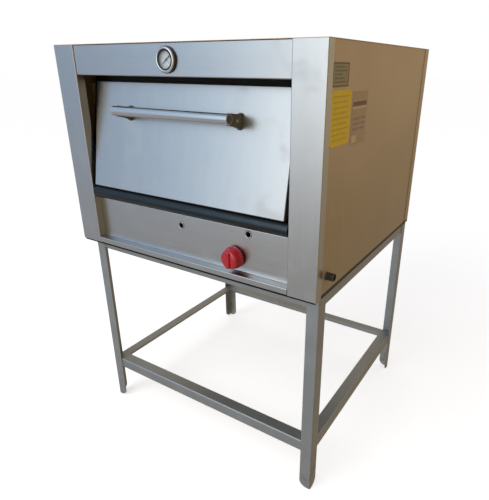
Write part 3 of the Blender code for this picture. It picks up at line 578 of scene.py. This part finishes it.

# Inside of the body: chamber liners and runners of aluminised sheet. The pan, the mouth's frame and the
# sleeves behind the sight holes are coloured near black as painted shade. Mineral wool fills the walls and
# the door.

aluminised.on("liner_left", "liner_right", "liner_roof", "liner_back", "deck_runner_left",
              "deck_runner_right", "burner_rest", "door_liner")

# A near-black finish used as painted shade: the dark gap round the door, the shadow line under the side
# panels and the dark sight holes.
painted_shade_black = Finish("painted_shade_black", Metallic=0.2)
here = painted_shade_black.place
black_mottle = here.grain(26, 4, wave=0.6)
orange_peel = here.grain(420, 3)
painted_shade_black.feed("Base Color", black_mottle.colours(tint(26, 26, 28), tint(46, 45, 44)))
painted_shade_black.feed("Roughness", 0.50 + black_mottle * 0.25)
painted_shade_black.bump(orange_peel + black_mottle, 0.0004, 0.3)
painted_shade_black.on("bottom_pan", "mouth_jamb_left", "mouth_jamb_right", "mouth_lintel")
for side, (x, z) in zip(("left", "right"), sights):
    sleeve = [(0.0069, -0.030), (0.0078, -0.030), (0.0078, -0.0045), (0.0069, -0.0045), (0.0069, -0.030)]
    bm = turned(sleeve, 36, Matrix.Translation((x, panel_y, z)) @ FORWARD)
    fit("sight_sleeve_" + side, bm, painted_shade_black, "oven")

wool = Finish("mineral_wool", Roughness=0.95)
here = wool.place
strands = here.grain(260, 5, (1, 0.2, 1), 0.7, 1.2)
tufts = here.grain(48, 4)
wool.feed("Base Color", (strands * 0.6 + tufts * 0.4).colours(tint(158, 146, 98), tint(222, 212, 170)))
wool.bump(strands + tufts, 0.003, 0.8)
wool.on("insulation_left", "insulation_right", "insulation_top", "insulation_back", "door_insulation")

# Baking deck: one loose slab of pressed refractory stone on the runners, over a steel flame baffle.
# The slab is speckled and lightly toasted; the baffle is blued by the flame.

stone = Finish("deck_stone", Roughness=0.9)
here = stone.place
grit = here.grain(420, 3)
chips = here.grain(150, 2).ramp(0.64, 0.72)
toast = here.grain(8, 4, wave=0.8).ramp(0.45, 0.78)
pale = grit.colours(tint(176, 165, 146), tint(208, 199, 182))
chipped = (chips * 0.6).colours(pale, tint(120, 108, 92))
stone.feed("Base Color", (toast * 0.5).colours(chipped, tint(122, 92, 62)))
stone.feed("Roughness", 0.82 + grit * 0.15)
stone.bump(grit + chips * 0.6, 0.0008, 0.6)
low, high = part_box("baking_deck")
bm = bmesh.new()
block(bm, Matrix.Translation((low + high) / 2), high - low)
round_off(bm, bm.edges[:], 0.0025, 3)
fit("deck_slab", bm, stone, "oven", ["baking_deck"], even=True)

blued = Finish("baffle_steel", Metallic=0.9)
here = blued.place
heat = here.grain(9, 3, wave=0.7)
scale = here.grain(210, 4)
tempers = [(0.30, tint(62, 58, 56)), (0.45, tint(88, 70, 58)), (0.55, tint(70, 68, 84)),
           (0.68, tint(58, 62, 72))]
blued.feed("Base Color", heat.via("ValToRGB", {"stops": tempers}, {0: heat}))
blued.feed("Roughness", 0.40 + scale * 0.25)
blued.bump(scale, 0.0004, 0.35)
blued.on("flame_baffle", "hinge_pin_left", "hinge_pin_right")

# Gas train: a bent and perforated tube burner, a cast mixer bell, a brass jet and a plug valve of brass.
# The iron supply pipe comes in through the right side panel and ends in a male thread.

iron = Finish("burner_iron", Metallic=0.75)
here = iron.place
pits = here.grain(380, 4)
rust = here.grain(40, 4, wave=0.5).ramp(0.55, 0.75)
black = pits.colours(tint(52, 51, 50), tint(84, 82, 80))
iron.feed("Base Color", (rust * 0.5).colours(black, tint(112, 74, 50)))
iron.feed("Metallic", 0.8 - rust * 0.6)
iron.feed("Roughness", 0.45 + pits * 0.2 + rust * 0.2)
iron.bump(pits, 0.0006, 0.5)
iron.on("burner_tube", "burner_mixer")

brass = Finish("brass", Metallic=1.0)
here = brass.place
lines = here.grain(500, 2, (1, 0.1, 1))
tarnish = here.grain(60, 4).ramp(0.45, 0.75)
bright = lines.colours(tint(186, 152, 88), tint(212, 178, 108))
brass.feed("Base Color", (tarnish * 0.5).colours(bright, tint(122, 94, 56)))
brass.feed("Roughness", 0.22 + lines * 0.12 + tarnish * 0.2)
brass.bump(lines, 0.0002, 0.25)
brass.on("gas_orifice", "valve_body")
zinc.on("valve_stem", "valve_spring_cup")

pipe_paint = Finish("supply_pipe_iron", Metallic=0.6)
here = pipe_paint.place
pits = here.grain(420, 4)
worn = here.grain(90, 3, (0.3, 1, 1)).ramp(0.50, 0.72)
pipe_paint.feed("Base Color", (worn * 0.6 + pits * 0.2).colours(tint(86, 82, 76), tint(168, 162, 150)))
pipe_paint.feed("Roughness", 0.36 + pits * 0.25)
pipe_paint.bump(pits, 0.0004, 0.35)
low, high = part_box("manifold_pipe")
axis_at = Vector((0, (low.y + high.y) / 2, (low.z + high.z) / 2))
radius = (high.z - low.z) / 2
bore = radius - 0.00275
PITCH = 0.0018
THREADS = 8
profile = [(bore, low.x), (radius - 0.0006, low.x), (radius, low.x + 0.0006)]
start = high.x - 0.0012 - PITCH * THREADS
profile.append((radius, start - 0.0006))
for turn in range(THREADS):
    for depth, share in ((0.0010, 0.15), (0.0001, 0.65), (0.0001, 0.80)):
        profile.append((radius - depth, start + PITCH * (turn + share)))
profile += [(radius - 0.0012, high.x), (bore + 0.0005, high.x), (bore, high.x - 0.0006), (bore, low.x)]
bm = turned(profile, 48, Matrix.Translation(axis_at) @ SIDEWAYS)
fit("gas_supply_pipe", bm, pipe_paint, "oven", ["manifold_pipe"], sharp=0.45)

# Door: a tray of brushed stainless closed at the back by a liner, with wool between, on a dark hinge tube.
# It leans back when shut and swings forwards and down about the tube.

door_place = Matrix.Translation(HINGE_AT) @ Matrix.Rotation(-DOOR_LEAN, 4, "X")


def door_box(node):
    """A door node's lowest and highest corners in the leaning door's own directions."""
    inward = door_place.inverted()
    spots = [inward @ vert.co for vert in frame["nodes"][node].data.vertices]
    return [Vector(pick(spot[i] for spot in spots) for i in range(3)) for pick in (min, max)]


low, high = door_box("door_skin")
bm = bmesh.new()
block(bm, Matrix.Translation((low + high) / 2), high - low)
bm.normal_update()
open_face = [face for face in bm.faces if face.normal.y > 0.9]
bmesh.ops.delete(bm, geom=open_face, context="FACES")
bends = [edge for edge in bm.edges if len(edge.link_faces) == 2]
round_off(bm, bends, 0.0026, 4)
bmesh.ops.recalc_face_normals(bm, faces=bm.faces)
bmesh.ops.solidify(bm, geom=bm.faces[:], thickness=SHEET)
moved(bm, door_place)
fit("door_front", bm, upright_steel, "door", ["door_skin"], even=True)

tube_steel = Finish("darkened_tube", Metallic=0.8, Coat_Weight=0.1, Coat_Roughness=0.15)
here = tube_steel.place
lines = here.grain(420, 3, (0.04, 1, 1))
marks = here.grain(30, 4, (0.4, 1, 1), wave=0.6).ramp(0.5, 0.8)
tube_steel.feed("Base Color", (lines - marks * 0.2).colours(tint(40, 48, 52), tint(66, 76, 82)))
tube_steel.feed("Roughness", 0.20 + lines * 0.10 + marks * 0.14)
tube_steel.bump(lines, 0.0002, 0.2)
low, high = door_box("hinge_tube")
radius = (high.z - low.z) / 2
wall = radius - 0.0022
pin_bore = 0.0053
plug = 0.010
profile = [(pin_bore, low.x), (radius - 0.0007, low.x), (radius, low.x + 0.0007), (radius, high.x - 0.0007),
           (radius - 0.0007, high.x), (pin_bore, high.x), (pin_bore, high.x - plug), (wall, high.x - plug),
           (wall, low.x + plug), (pin_bore, low.x + plug), (pin_bore, low.x)]
fit("door_hinge_tube", turned(profile, 64, door_place @ SIDEWAYS), tube_steel, "door",
    ["hinge_tube"], sharp=0.5)

# Handle: a bright steel tube cupped from behind by two bronzed cast brackets that flare to the door.
# A slotted screw goes through each bracket's side, and the tube's ends are plugged.

chrome = Finish("chrome", Metallic=1.0)
here = chrome.place
swirl = here.grain(900, 2, (0.08, 1, 1))
print_marks = here.grain(55, 4, (0.5, 1, 1), wave=0.8).ramp(0.52, 0.78)
chrome.feed("Base Color", (swirl * 0.7).colours(tint(214, 216, 218), tint(236, 237, 238)))
chrome.feed("Roughness", 0.09 + swirl * 0.05 + print_marks * 0.12)
chrome.bump(swirl, 0.0001, 0.12)
low, high = door_box("handle_tube")
radius = (high.z - low.z) / 2
bore = radius - 0.0015
tube_at = Matrix.Translation((0, (low.y + high.y) / 2, (low.z + high.z) / 2))
profile = [(bore, low.x), (radius - 0.0004, low.x), (radius, low.x + 0.0004), (radius, high.x - 0.0004),
           (radius - 0.0004, high.x), (bore, high.x), (bore, low.x)]
fit("door_handle_tube", turned(profile, 64, door_place @ tube_at @ SIDEWAYS), chrome, "door",
    ["handle_tube"], sharp=0.5)

bronzed = Finish("bracket_bronze", Metallic=0.65, Coat_Weight=0.2, Coat_Roughness=0.3)
here = bronzed.place
cast = here.grain(460, 4)
edges_worn = here.grain(70, 4).ramp(0.52, 0.78)
bronzed.feed("Base Color", (edges_worn * 0.5 + cast * 0.3).colours(tint(112, 108, 94), tint(182, 176, 156)))
bronzed.feed("Roughness", 0.36 + cast * 0.2)
bronzed.bump(cast, 0.0005, 0.45)
tube_mid = Vector((0, (low.y + high.y) / 2, (low.z + high.z) / 2))
GRASP = 1.25
for name in ("handle_bracket_left", "handle_bracket_right"):
    low, high = door_box(name)
    seat = radius + 0.0003
    lip = seat + 0.0022
    reach = high.y - tube_mid.y
    half_foot = (high.z - low.z) / 2
    turns = [GRASP - 2 * GRASP * k / 20 for k in range(21)]
    cup = [(tube_mid.y + seat * cos(a), seat * sin(a)) for a in turns]
    lower = [(tube_mid.y + lip * cos(GRASP), -lip * sin(GRASP))]
    flare = ((0.35, 0.98), (0.48, 0.99), (0.60, 1.02), (0.71, 1.07), (0.80, 1.13), (0.87, 1.20), (0.92, 1.27))
    lower += [(tube_mid.y + reach * share, -lip * width) for share, width in flare]
    lower += [(high.y - 0.003, -half_foot), (high.y, -half_foot)]
    outline = cup + lower + [(y, -z) for y, z in reversed(lower)]
    bm = bmesh.new()
    ring = [bm.verts.new((low.x, y, z + tube_mid.z)) for y, z in outline]
    thicken(bm, bm.faces.new(ring), (high.x - low.x, 0, 0))
    rims = [edge for edge in bm.edges if abs(edge.verts[0].co.x - edge.verts[1].co.x) < 1e-6]
    round_off(bm, rims, 0.0014, 3)
    moved(bm, door_place)
    fit("door_" + name, bm, bronzed, "door", [name], even=True)

bracket_screws = bmesh.new()
slots = []
for name, hand in (("handle_bracket_left", -1), ("handle_bracket_right", 1)):
    low, high = door_box(name)
    at = Vector((low.x if hand < 0 else high.x, tube_mid.y + (high.y - tube_mid.y) * 0.62, tube_mid.z))
    place = door_place @ Matrix.Translation(at) @ Matrix.Rotation(hand * pi / 2, 4, "Y")
    gather(bracket_screws, turned([(0, -0.0002), (0.0042, -0.0002), (0.0041, 0.0010), (0.0034, 0.0020),
                                   (0.0020, 0.0026), (0, 0.0028)], 28, place))
    slot_cut = bmesh.new()
    across = Matrix.Translation((0, 0, 0.0024)) @ Matrix.Rotation(0.6, 4, "Z")
    block(slot_cut, place @ across, (0.0011, 0.0100, 0.0022))
    slots.append(slot_cut)
screws = fit("handle_screws", bracket_screws, chrome, "door")
pierce(screws, slots)

plugs = bmesh.new()
low, high = door_box("handle_tube")
for x, hand in ((low.x, -1), (high.x, 1)):
    at = Matrix.Translation((x, tube_mid.y, tube_mid.z))
    cap = [(0, -0.008), (bore - 0.0002, -0.008), (bore - 0.0002, 0.0002), (bore - 0.0010, 0.0007),
           (bore * 0.6, 0.0012), (bore * 0.3, 0.0014), (0, 0.0015)]
    gather(plugs, turned(cap, 40, door_place @ at @ Matrix.Rotation(hand * pi / 2, 4, "Y")))
fit("handle_end_plugs", plugs, bronzed, "door")

# Thermometer: a spun case with a bright rolled bezel and a black side, an enamelled dial with a lens, held
# by a dark ring, and a blued pointer. Its stem runs back over the chamber and turns down through the roof.

reach_out = DIAL_AT.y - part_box("thermometer_case")[0].y
dial_place = Matrix.Translation(DIAL_AT) @ FORWARD
bezel = (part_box("thermometer_case")[1].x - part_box("thermometer_case")[0].x) / 2
dial_radius = (dial_high.x - dial_low.x) / 2
case = bezel - 0.0055
profile = [(0, -0.020), (case - 0.001, -0.020), (case, -0.019), (case, 0.0003), (bezel - 0.0003, 0.0003),
           (bezel, 0.0007), (bezel, 0.0046), (bezel - 0.0004, 0.0060), (bezel - 0.0014, 0.0078),
           (bezel - 0.0028, 0.0092), (bezel - 0.0044, reach_out), (bezel - 0.0058, 0.0099),
           (dial_radius + 0.0004, 0.0092), (dial_radius - 0.0006, 0.0086), (dial_radius - 0.0006, 0.0078),
           (dial_radius + 0.0003, 0.0076), (dial_radius + 0.0003, 0.0005), (0.001, 0.0005), (0.001, 0.0022),
           (0, 0.0022)]
cased = Finish("thermometer_steel", Metallic=1.0)
here = cased.place
swirl = here.grain(900, 2)
across, front_to_back, up = here.parts()
off_side, off_up = across - DIAL_AT.x, up - DIAL_AT.z
from_middle = (off_side * off_side + off_up * off_up) ** 0.5
dark_side = 1 - (DIAL_AT.y - front_to_back).ramp(0.0066, 0.0084)
seal = 1 - from_middle.ramp(dial_radius + 0.0008, dial_radius + 0.0014)
blacked = 1 - (1 - dark_side) * (1 - seal)
polished = swirl.colours(tint(216, 218, 220), tint(238, 239, 240))
cased.feed("Base Color", (blacked * 0.96).colours(polished, tint(30, 30, 33)))
cased.feed("Metallic", 1 - blacked * 0.9)
cased.feed("Roughness", 0.12 + swirl * 0.05 + blacked * 0.30)
cased.bump(swirl, 0.0001, 0.12)
fit("thermometer_bezel", turned(profile, 96, dial_place), cased, "oven", ["thermometer_case"],
    sharp=0.7)
ring = [(dial_radius - 0.0030, 0.0088), (dial_radius + 0.0006, 0.0088), (dial_radius + 0.0006, 0.0096),
        (dial_radius - 0.0020, 0.0096), (dial_radius - 0.0030, 0.0090), (dial_radius - 0.0030, 0.0088)]
fit("thermometer_seal", turned(ring, 96, dial_place), tube_steel, "oven", sharp=0.7)

low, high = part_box("thermometer_case")
PROBE_RADIUS = 0.0016
far = high.y - PROBE_RADIUS
bm = bmesh.new()
lay = Matrix.Translation((DIAL_AT.x, DIAL_AT.y + 0.016, DIAL_AT.z)) @ BACKWARD
bmesh.ops.create_circle(bm, cap_ends=True, radius=PROBE_RADIUS, segments=16, matrix=lay)
grown = bmesh.ops.extrude_face_region(bm, geom=bm.faces[:])["geom"]
BEND_RADIUS = 0.012
bmesh.ops.translate(bm, verts=verts_of(grown), vec=(0, far - BEND_RADIUS - DIAL_AT.y - 0.016, 0))
tip = [item for item in grown if isinstance(item, bmesh.types.BMFace)]
ring = verts_of(grown)
rim = [edge for edge in bm.edges if all(vert in ring for vert in edge.verts)]
bend_at = Vector((DIAL_AT.x, far - BEND_RADIUS, DIAL_AT.z - BEND_RADIUS))
turned_end = bmesh.ops.spin(bm, geom=tip + rim + ring, cent=bend_at, axis=(1, 0, 0), angle=-pi / 2,
                            steps=8)["geom_last"]
end_face = next(item for item in turned_end if isinstance(item, bmesh.types.BMFace))
thicken(bm, end_face, (0, 0, low.z - bend_at.z))
bmesh.ops.remove_doubles(bm, verts=bm.verts, dist=1e-6)
fit("thermometer_probe", bm, zinc, "oven")

dial_white = Finish("dial_white", Roughness=0.45, Coat_Weight=0.5, Coat_Roughness=0.08)
here = dial_white.place
aged = here.grain(90, 3)
dial_white.feed("Base Color", aged.colours(tint(232, 244, 250), tint(246, 252, 254)))
dial_white.bump(here.grain(900, 2), 0.0001, 0.1)
dial_white.on("thermometer_dial")

dial_ink = Finish("dial_ink", Roughness=0.5)
dial_ink.feed("Base Color", dial_ink.place.grain(800, 2).colours(tint(52, 66, 72), tint(84, 98, 104)))
bm = bmesh.new()
SWEEP = radians(250)
INK_AT = 0.00163
INK_THICK = 0.00006
for tick in range(26):
    turn = SWEEP * (tick / 25 - 0.5)
    long = 0.0030 if tick % 5 == 0 else 0.0016
    wide = 0.0005 if tick % 5 == 0 else 0.00028
    spot = Matrix.Rotation(-turn, 4, "Z") @ Matrix.Translation((0, dial_radius * 0.90 - long / 2, INK_AT))
    block(bm, spot, (wide, long, INK_THICK))
for step in range(50):
    turn = SWEEP * ((step + 0.5) / 50 - 0.5)
    spot = Matrix.Rotation(-turn, 4, "Z") @ Matrix.Translation((0, dial_radius * 0.915, INK_AT))
    block(bm, spot, (0.0021, 0.00022, INK_THICK))
for mark in range(6):
    text = bpy.data.curves.new("dial_number", "FONT")
    text.body = str(mark * 10)
    text.size = 0.0042
    text.extrude = 0.00003
    text.align_x = text.align_y = "CENTER"
    holder = placed("dial_number", text)
    bpy.context.view_layer.update()
    mesh = bpy.data.meshes.new_from_object(holder.evaluated_get(bpy.context.evaluated_depsgraph_get()))
    turn = SWEEP * (mark / 5 - 0.5)
    out = dial_radius * 0.66
    mesh.transform(Matrix.Translation((sin(turn) * out, cos(turn) * out, INK_AT)))
    bm.from_mesh(mesh)
    bpy.data.objects.remove(holder)
    bpy.data.curves.remove(text)
    bpy.data.meshes.remove(mesh)
moved(bm, dial_place)
# A number's front, sides and back share no points, so turning its faces again would mix them up.
fit("dial_scale", bm, dial_ink, "oven", outward=False)

blue_ink = Finish("pointer_blued", Metallic=0.5)
shade = blue_ink.place.grain(600, 2)
blue_ink.feed("Base Color", shade.colours(tint(34, 52, 62), tint(58, 80, 92)))
blue_ink.feed("Roughness", 0.3 + shade * 0.15)
pointer_spots = [vert.co for vert in frame["nodes"]["thermometer_pointer"].data.vertices]
flat_spots = [Vector((spot.x - DIAL_AT.x, spot.z - DIAL_AT.z)) for spot in pointer_spots]
farthest = max(flat_spots, key=lambda spot: spot.length)
aim = atan2(farthest.y, farthest.x)
reach = dial_radius * 0.80
bm = bmesh.new()
outline = [(reach, 0), (reach * 0.86, 0.0006), (0.004, 0.0011), (-0.010, 0.0017), (-0.0125, 0.0022),
           (-0.0150, 0.0018)]
outline += [(x, -y) for x, y in reversed(outline[1:])]
ring = [bm.verts.new((x, y, 0.0026)) for x, y in outline]
thicken(bm, bm.faces.new(ring), (0, 0, 0.0004))
moved(bm, dial_place @ Matrix.Rotation(aim, 4, "Z"))
hub = [(0, 0.0025), (0.0030, 0.0025), (0.0030, 0.0034), (0.0024, 0.0040), (0, 0.0042)]
gather(bm, turned(hub, 28, dial_place))
fit("dial_pointer", bm, blue_ink, "pointer", ["thermometer_pointer"])

lens = Finish("lens_glass", Alpha=0.16, Coat_Weight=1.0, Coat_Roughness=0.03, IOR=1.5)
here = lens.place
lens.feed("Base Color", here.grain(40, 2).colours(tint(206, 222, 230), tint(226, 236, 240)))
lens.feed("Roughness", 0.03 + here.grain(120, 3).ramp(0.55, 0.8) * 0.10)
lens.on("thermometer_lens")

# Knob: moulded in glossy red plastic, with a ribbed skirt, a domed middle and a raised grip bar.
# It is pushed on the valve's stem, which turns with it; a pressed cup behind it carries the spring.

red_plastic = Finish("knob_red", Coat_Weight=0.7, Coat_Roughness=0.12)
here = red_plastic.place
mould = here.grain(700, 3)
greasy = here.grain(120, 3, wave=0.8).ramp(0.5, 0.75)
worn = here.grain(45, 4)
red_plastic.feed("Base Color", (worn * 0.6 + mould * 0.2).colours(tint(176, 6, 30), tint(224, 24, 56)))
red_plastic.feed("Roughness", 0.26 + greasy * 0.18 + mould * 0.05)
red_plastic.bump(mould, 0.0002, 0.25)
low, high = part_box("knob")
radius = (high.x - low.x) / 2
back, front = knob_at.y - high.y, knob_at.y - low.y
profile = [(0.0043, back), (radius * 0.86, back), (radius * 0.97, back + 0.0006), (radius, back + 0.0018),
           (radius, back + 0.0080), (radius * 0.985, back + 0.0092), (radius * 0.94, back + 0.0102),
           (radius * 0.90, back + 0.0120), (radius * 0.88, back + 0.0190), (radius * 0.86, back + 0.0240),
           (radius * 0.81, back + 0.0268), (radius * 0.70, back + 0.0286), (radius * 0.50, back + 0.0298),
           (radius * 0.24, back + 0.0305), (0, back + 0.0307), (0, back + 0.020), (0.0043, back + 0.020),
           (0.0043, back)]
knob_place = Matrix.Translation(knob_at) @ FORWARD
RIBS = 24
bm = turned(profile, 144, Matrix())
for vert in bm.verts:
    out = Vector((vert.co.x, vert.co.y, 0))
    if out.length > radius * 0.855 and vert.co.z < back + 0.0245:
        ribs = 0.5 - 0.5 * cos(RIBS * atan2(out.y, out.x))
        vert.co.x *= 1 - 0.035 * ribs
        vert.co.y *= 1 - 0.035 * ribs
moved(bm, knob_place)
fit("knob_red_body", bm, red_plastic, "knob", ["knob"], sharp=0.9)
bm = bmesh.new()
grip = radius * 0.74
block(bm, Matrix.Translation((0, 0, front - 0.006)), (0.012, 2 * grip, 0.012))
ends = [edge for edge in bm.edges if abs(edge.verts[0].co.z - edge.verts[1].co.z) > 0.001]
round_off(bm, ends, 0.0052, 6)
tops = [edge for edge in bm.edges if min(vert.co.z for vert in edge.verts) > front - 0.001]
round_off(bm, tops, 0.0022, 4)
moved(bm, knob_place)
grip_piece = fit("knob_grip", bm, red_plastic, "knob", sharp=0.9)
mark_cut = bmesh.new()
block(mark_cut, knob_place @ Matrix.Translation((0, grip * 0.62, front)), (0.0024, 0.0090, 0.0012))
pierce(grip_piece, [mark_cut])

# Plates on the right side: a printed foil plate, a yellow vinyl label and a pale vinyl label.
# They carry only plain blocks and rules, and no lettering.

panel_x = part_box("side_panel_right")[1].x


def label(name, finish, near, far, bottom, top, corner):
    """A thin plate stuck on the right side; near and far are measured back from the post's face."""
    bm = bmesh.new()
    edge = [(near, bottom), (far, bottom), (far, top), (near, top)]
    bm.faces.new([bm.verts.new((panel_x + 0.0001, post_face + y, z)) for y, z in edge])
    round_off(bm, bm.verts[:], corner, 5, "VERTICES")
    thicken(bm, bm.faces[:][0], (0.0003, 0, 0))
    return fit(name, bm, finish, "oven", sharp=0.5)


def within(value, low, high, soft=0.0006):
    return value.ramp(low - soft, low + soft) * (1 - value.ramp(high - soft, high + soft))


def printed(name, ground, blocks):
    """A label's finish: blocks of (colour, strength, near, far, bottom, top) laid on its ground."""
    made = Finish(name, Coat_Weight=0.08, Coat_Roughness=0.25)
    worn = made.place.grain(130, 4)
    _, back_from, up = made.place.parts()
    back_from = back_from - post_face
    colour = worn.colours(ground[0], ground[1])
    for ink, strength, near, far, bottom, top in blocks:
        mask = within(back_from, near, far) * within(up, bottom, top)
        colour = (mask * (strength - worn * 0.25)).colours(colour, ink)
    made.feed("Base Color", colour)
    made.feed("Roughness", 0.36 + worn * 0.2)
    made.bump(worn, 0.0002, 0.2)
    return made


dark, green, olive = tint(60, 54, 40), tint(84, 110, 90), tint(140, 116, 12)
blocks = [(dark, 1.0, 0.028, 0.111, 1.2217, 1.2237), (dark, 1.0, 0.028, 0.111, 1.1763, 1.1783),
          (dark, 1.0, 0.028, 0.031, 1.1763, 1.2237), (dark, 1.0, 0.108, 0.111, 1.1763, 1.2237)]
for row in range(5):
    foot = 1.184 + row * 0.0075
    blocks.append((green, 0.85, 0.036, 0.100 - 0.012 * (row % 3), foot, foot + 0.003))
plate = printed("rating_plate_foil", (tint(150, 138, 104), tint(182, 168, 132)), blocks)
label("side_rating_plate", plate, 0.026, 0.113, 1.175, 1.225, 0.002)

blocks = []
for row in range(9):
    foot = 1.062 + row * 0.0115
    blocks.append((olive, 0.45, 0.036, 0.124 - 0.010 * (row % 2), foot, foot + 0.0035))
yellow = printed("yellow_vinyl", (tint(236, 200, 6), tint(255, 228, 24)), blocks)
label("side_yellow_label", yellow, 0.027, 0.135, 1.050, 1.169, 0.012)

maroon, violet, cream = tint(98, 44, 48), tint(118, 104, 142), tint(226, 216, 184)
blocks = [(maroon, 0.9, 0.149, 0.236, 1.130, 1.140), (cream, 0.9, 0.149, 0.236, 1.124, 1.128)]
for row in range(3):
    for near, far in ((0.152, 0.196), (0.202, 0.232)):
        blocks.append((violet, 0.6, near, far, 1.098 - row * 0.012, 1.104 - row * 0.012))
blocks.append((cream, 0.9, 0.152, 0.180, 1.046, 1.062))
pale_vinyl = printed("pale_vinyl", (tint(180, 156, 126), tint(206, 180, 150)), blocks)
label("side_pale_label", pale_vinyl, 0.145, 0.240, 1.040, 1.163, 0.003)

# Room: a wide pale floor, a soft sky of studio cloth round the oven, and one large soft lamp.
# The cloth is white before the oven, grey-blue to its left, brown to its right and behind, and dark above.

floor_look = Finish("floor_card", Roughness=0.9)
soft = floor_look.place.grain(2.0, 3)
floor_look.feed("Base Color", soft.colours((0.93, 0.93, 0.93, 1), (0.96, 0.96, 0.96, 1)))
floor_look.feed("Emission Color", soft.colours((0.98, 0.98, 0.98, 1), (1, 1, 1, 1)))
floor_look.shader.inputs["Emission Strength"].default_value = 0.6
bm = bmesh.new()
FLOOR_RADIUS = 60
bmesh.ops.create_circle(bm, cap_ends=True, radius=FLOOR_RADIUS, segments=96,
                        matrix=Matrix.Translation((0, 0, cad_low.z)))
mesh = bpy.data.meshes.new("floor")
bm.to_mesh(mesh)
bm.free()
mesh.materials.append(floor_look.material)
floor = placed("floor", mesh)
floor.visible_glossy = False
floor.visible_diffuse = False
floor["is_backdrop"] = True

world = bpy.data.worlds.new("studio")
world.use_nodes = True
bpy.context.scene.world = world
tree = world.node_tree
backdrop = tree.nodes["Background"]
way = Wire(tree.nodes.new("ShaderNodeTexCoord").outputs["Generated"])
to_right, to_back, to_top = way.parts()
side_turn = 0.5 - to_right * 0.5
cloth = side_turn.via("ValToRGB", {"stops": [(0.42, (0.24, 0.185, 0.115, 1)), (0.55, (1.15, 1.13, 1.08, 1)),
                                              (0.71, (1.3, 1.3, 1.26, 1)), (0.75, (0.98, 1.06, 1.10, 1)),
                                              (0.79, (0.49, 0.64, 0.79, 1)), (0.84, (0.32, 0.43, 0.57, 1)),
                                              (0.925, (0.23, 0.275, 0.35, 1))]}, {0: side_turn})
behind = to_back.ramp(-0.15, 0.45).colours(cloth, (0.35, 0.27, 0.17, 1))
under = to_right.ramp(-0.1, 0.5).colours((0.25, 0.235, 0.225, 1), (0.20, 0.15, 0.09, 1))
below = (1 - to_top.ramp(-0.40, 0.06)).colours(behind, under)
above = to_top.ramp(0.54, 0.82).colours(below, (0.20, 0.22, 0.27, 1))
tree.links.new(above.socket, backdrop.inputs["Color"])
backdrop.inputs["Strength"].default_value = 1.45
seen = tree.nodes.new("ShaderNodeBackground")
seen.inputs["Color"].default_value = (1, 1, 1, 1)
choose = tree.nodes.new("ShaderNodeMixShader")
tree.links.new(tree.nodes.new("ShaderNodeLightPath").outputs["Is Camera Ray"], choose.inputs[0])
tree.links.new(backdrop.outputs[0], choose.inputs[1])
tree.links.new(seen.outputs[0], choose.inputs[2])
tree.links.new(choose.outputs[0], tree.nodes["World Output"].inputs["Surface"])

lamp = bpy.data.lights.new("soft_box", "AREA")
lamp.shape = "RECTANGLE"
lamp.size = 2.6
lamp.size_y = 2.0
lamp.energy = 30
soft_box = placed("soft_box", lamp)
soft_box.visible_glossy = False
aim_at = Vector((oven_x, 0, 0.9))
stands_at = Vector((-0.6, -2.6, 3.0))
facing = (aim_at - stands_at).to_track_quat("-Z", "Y").to_matrix().to_4x4()
soft_box.matrix_world = Matrix.Translation(stands_at) @ facing

# Camera: a person's eye height at the right front corner, looking a little down.

camera = bpy.data.cameras.new("camera")
camera.lens = 32.49
camera.sensor_width = 36
camera.shift_x = -0.0492
camera.shift_y = 0.0114
camera.clip_end = 200
eye = placed("camera", camera)
front_middle = (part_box("post_left")[0].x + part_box("post_right")[1].x) / 2
RIGHT, BEFORE, EYE_HEIGHT = 0.8535, 0.8905, 1.2155
TURNED_LEFT, LOOKING_DOWN, TILTED = 0.55546, 0.39717, 0.0052
stands_at = Vector((front_middle + RIGHT, post_face - BEFORE, EYE_HEIGHT))
facing = Matrix.Rotation(TURNED_LEFT, 4, "Z") @ Matrix.Rotation(pi / 2 - LOOKING_DOWN, 4, "X")
eye.matrix_world = Matrix.Translation(stands_at) @ facing @ Matrix.Rotation(TILTED, 4, "Z")
bpy.context.scene.camera = eye
bpy.context.scene.view_settings.view_transform = "Standard"

low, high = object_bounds()
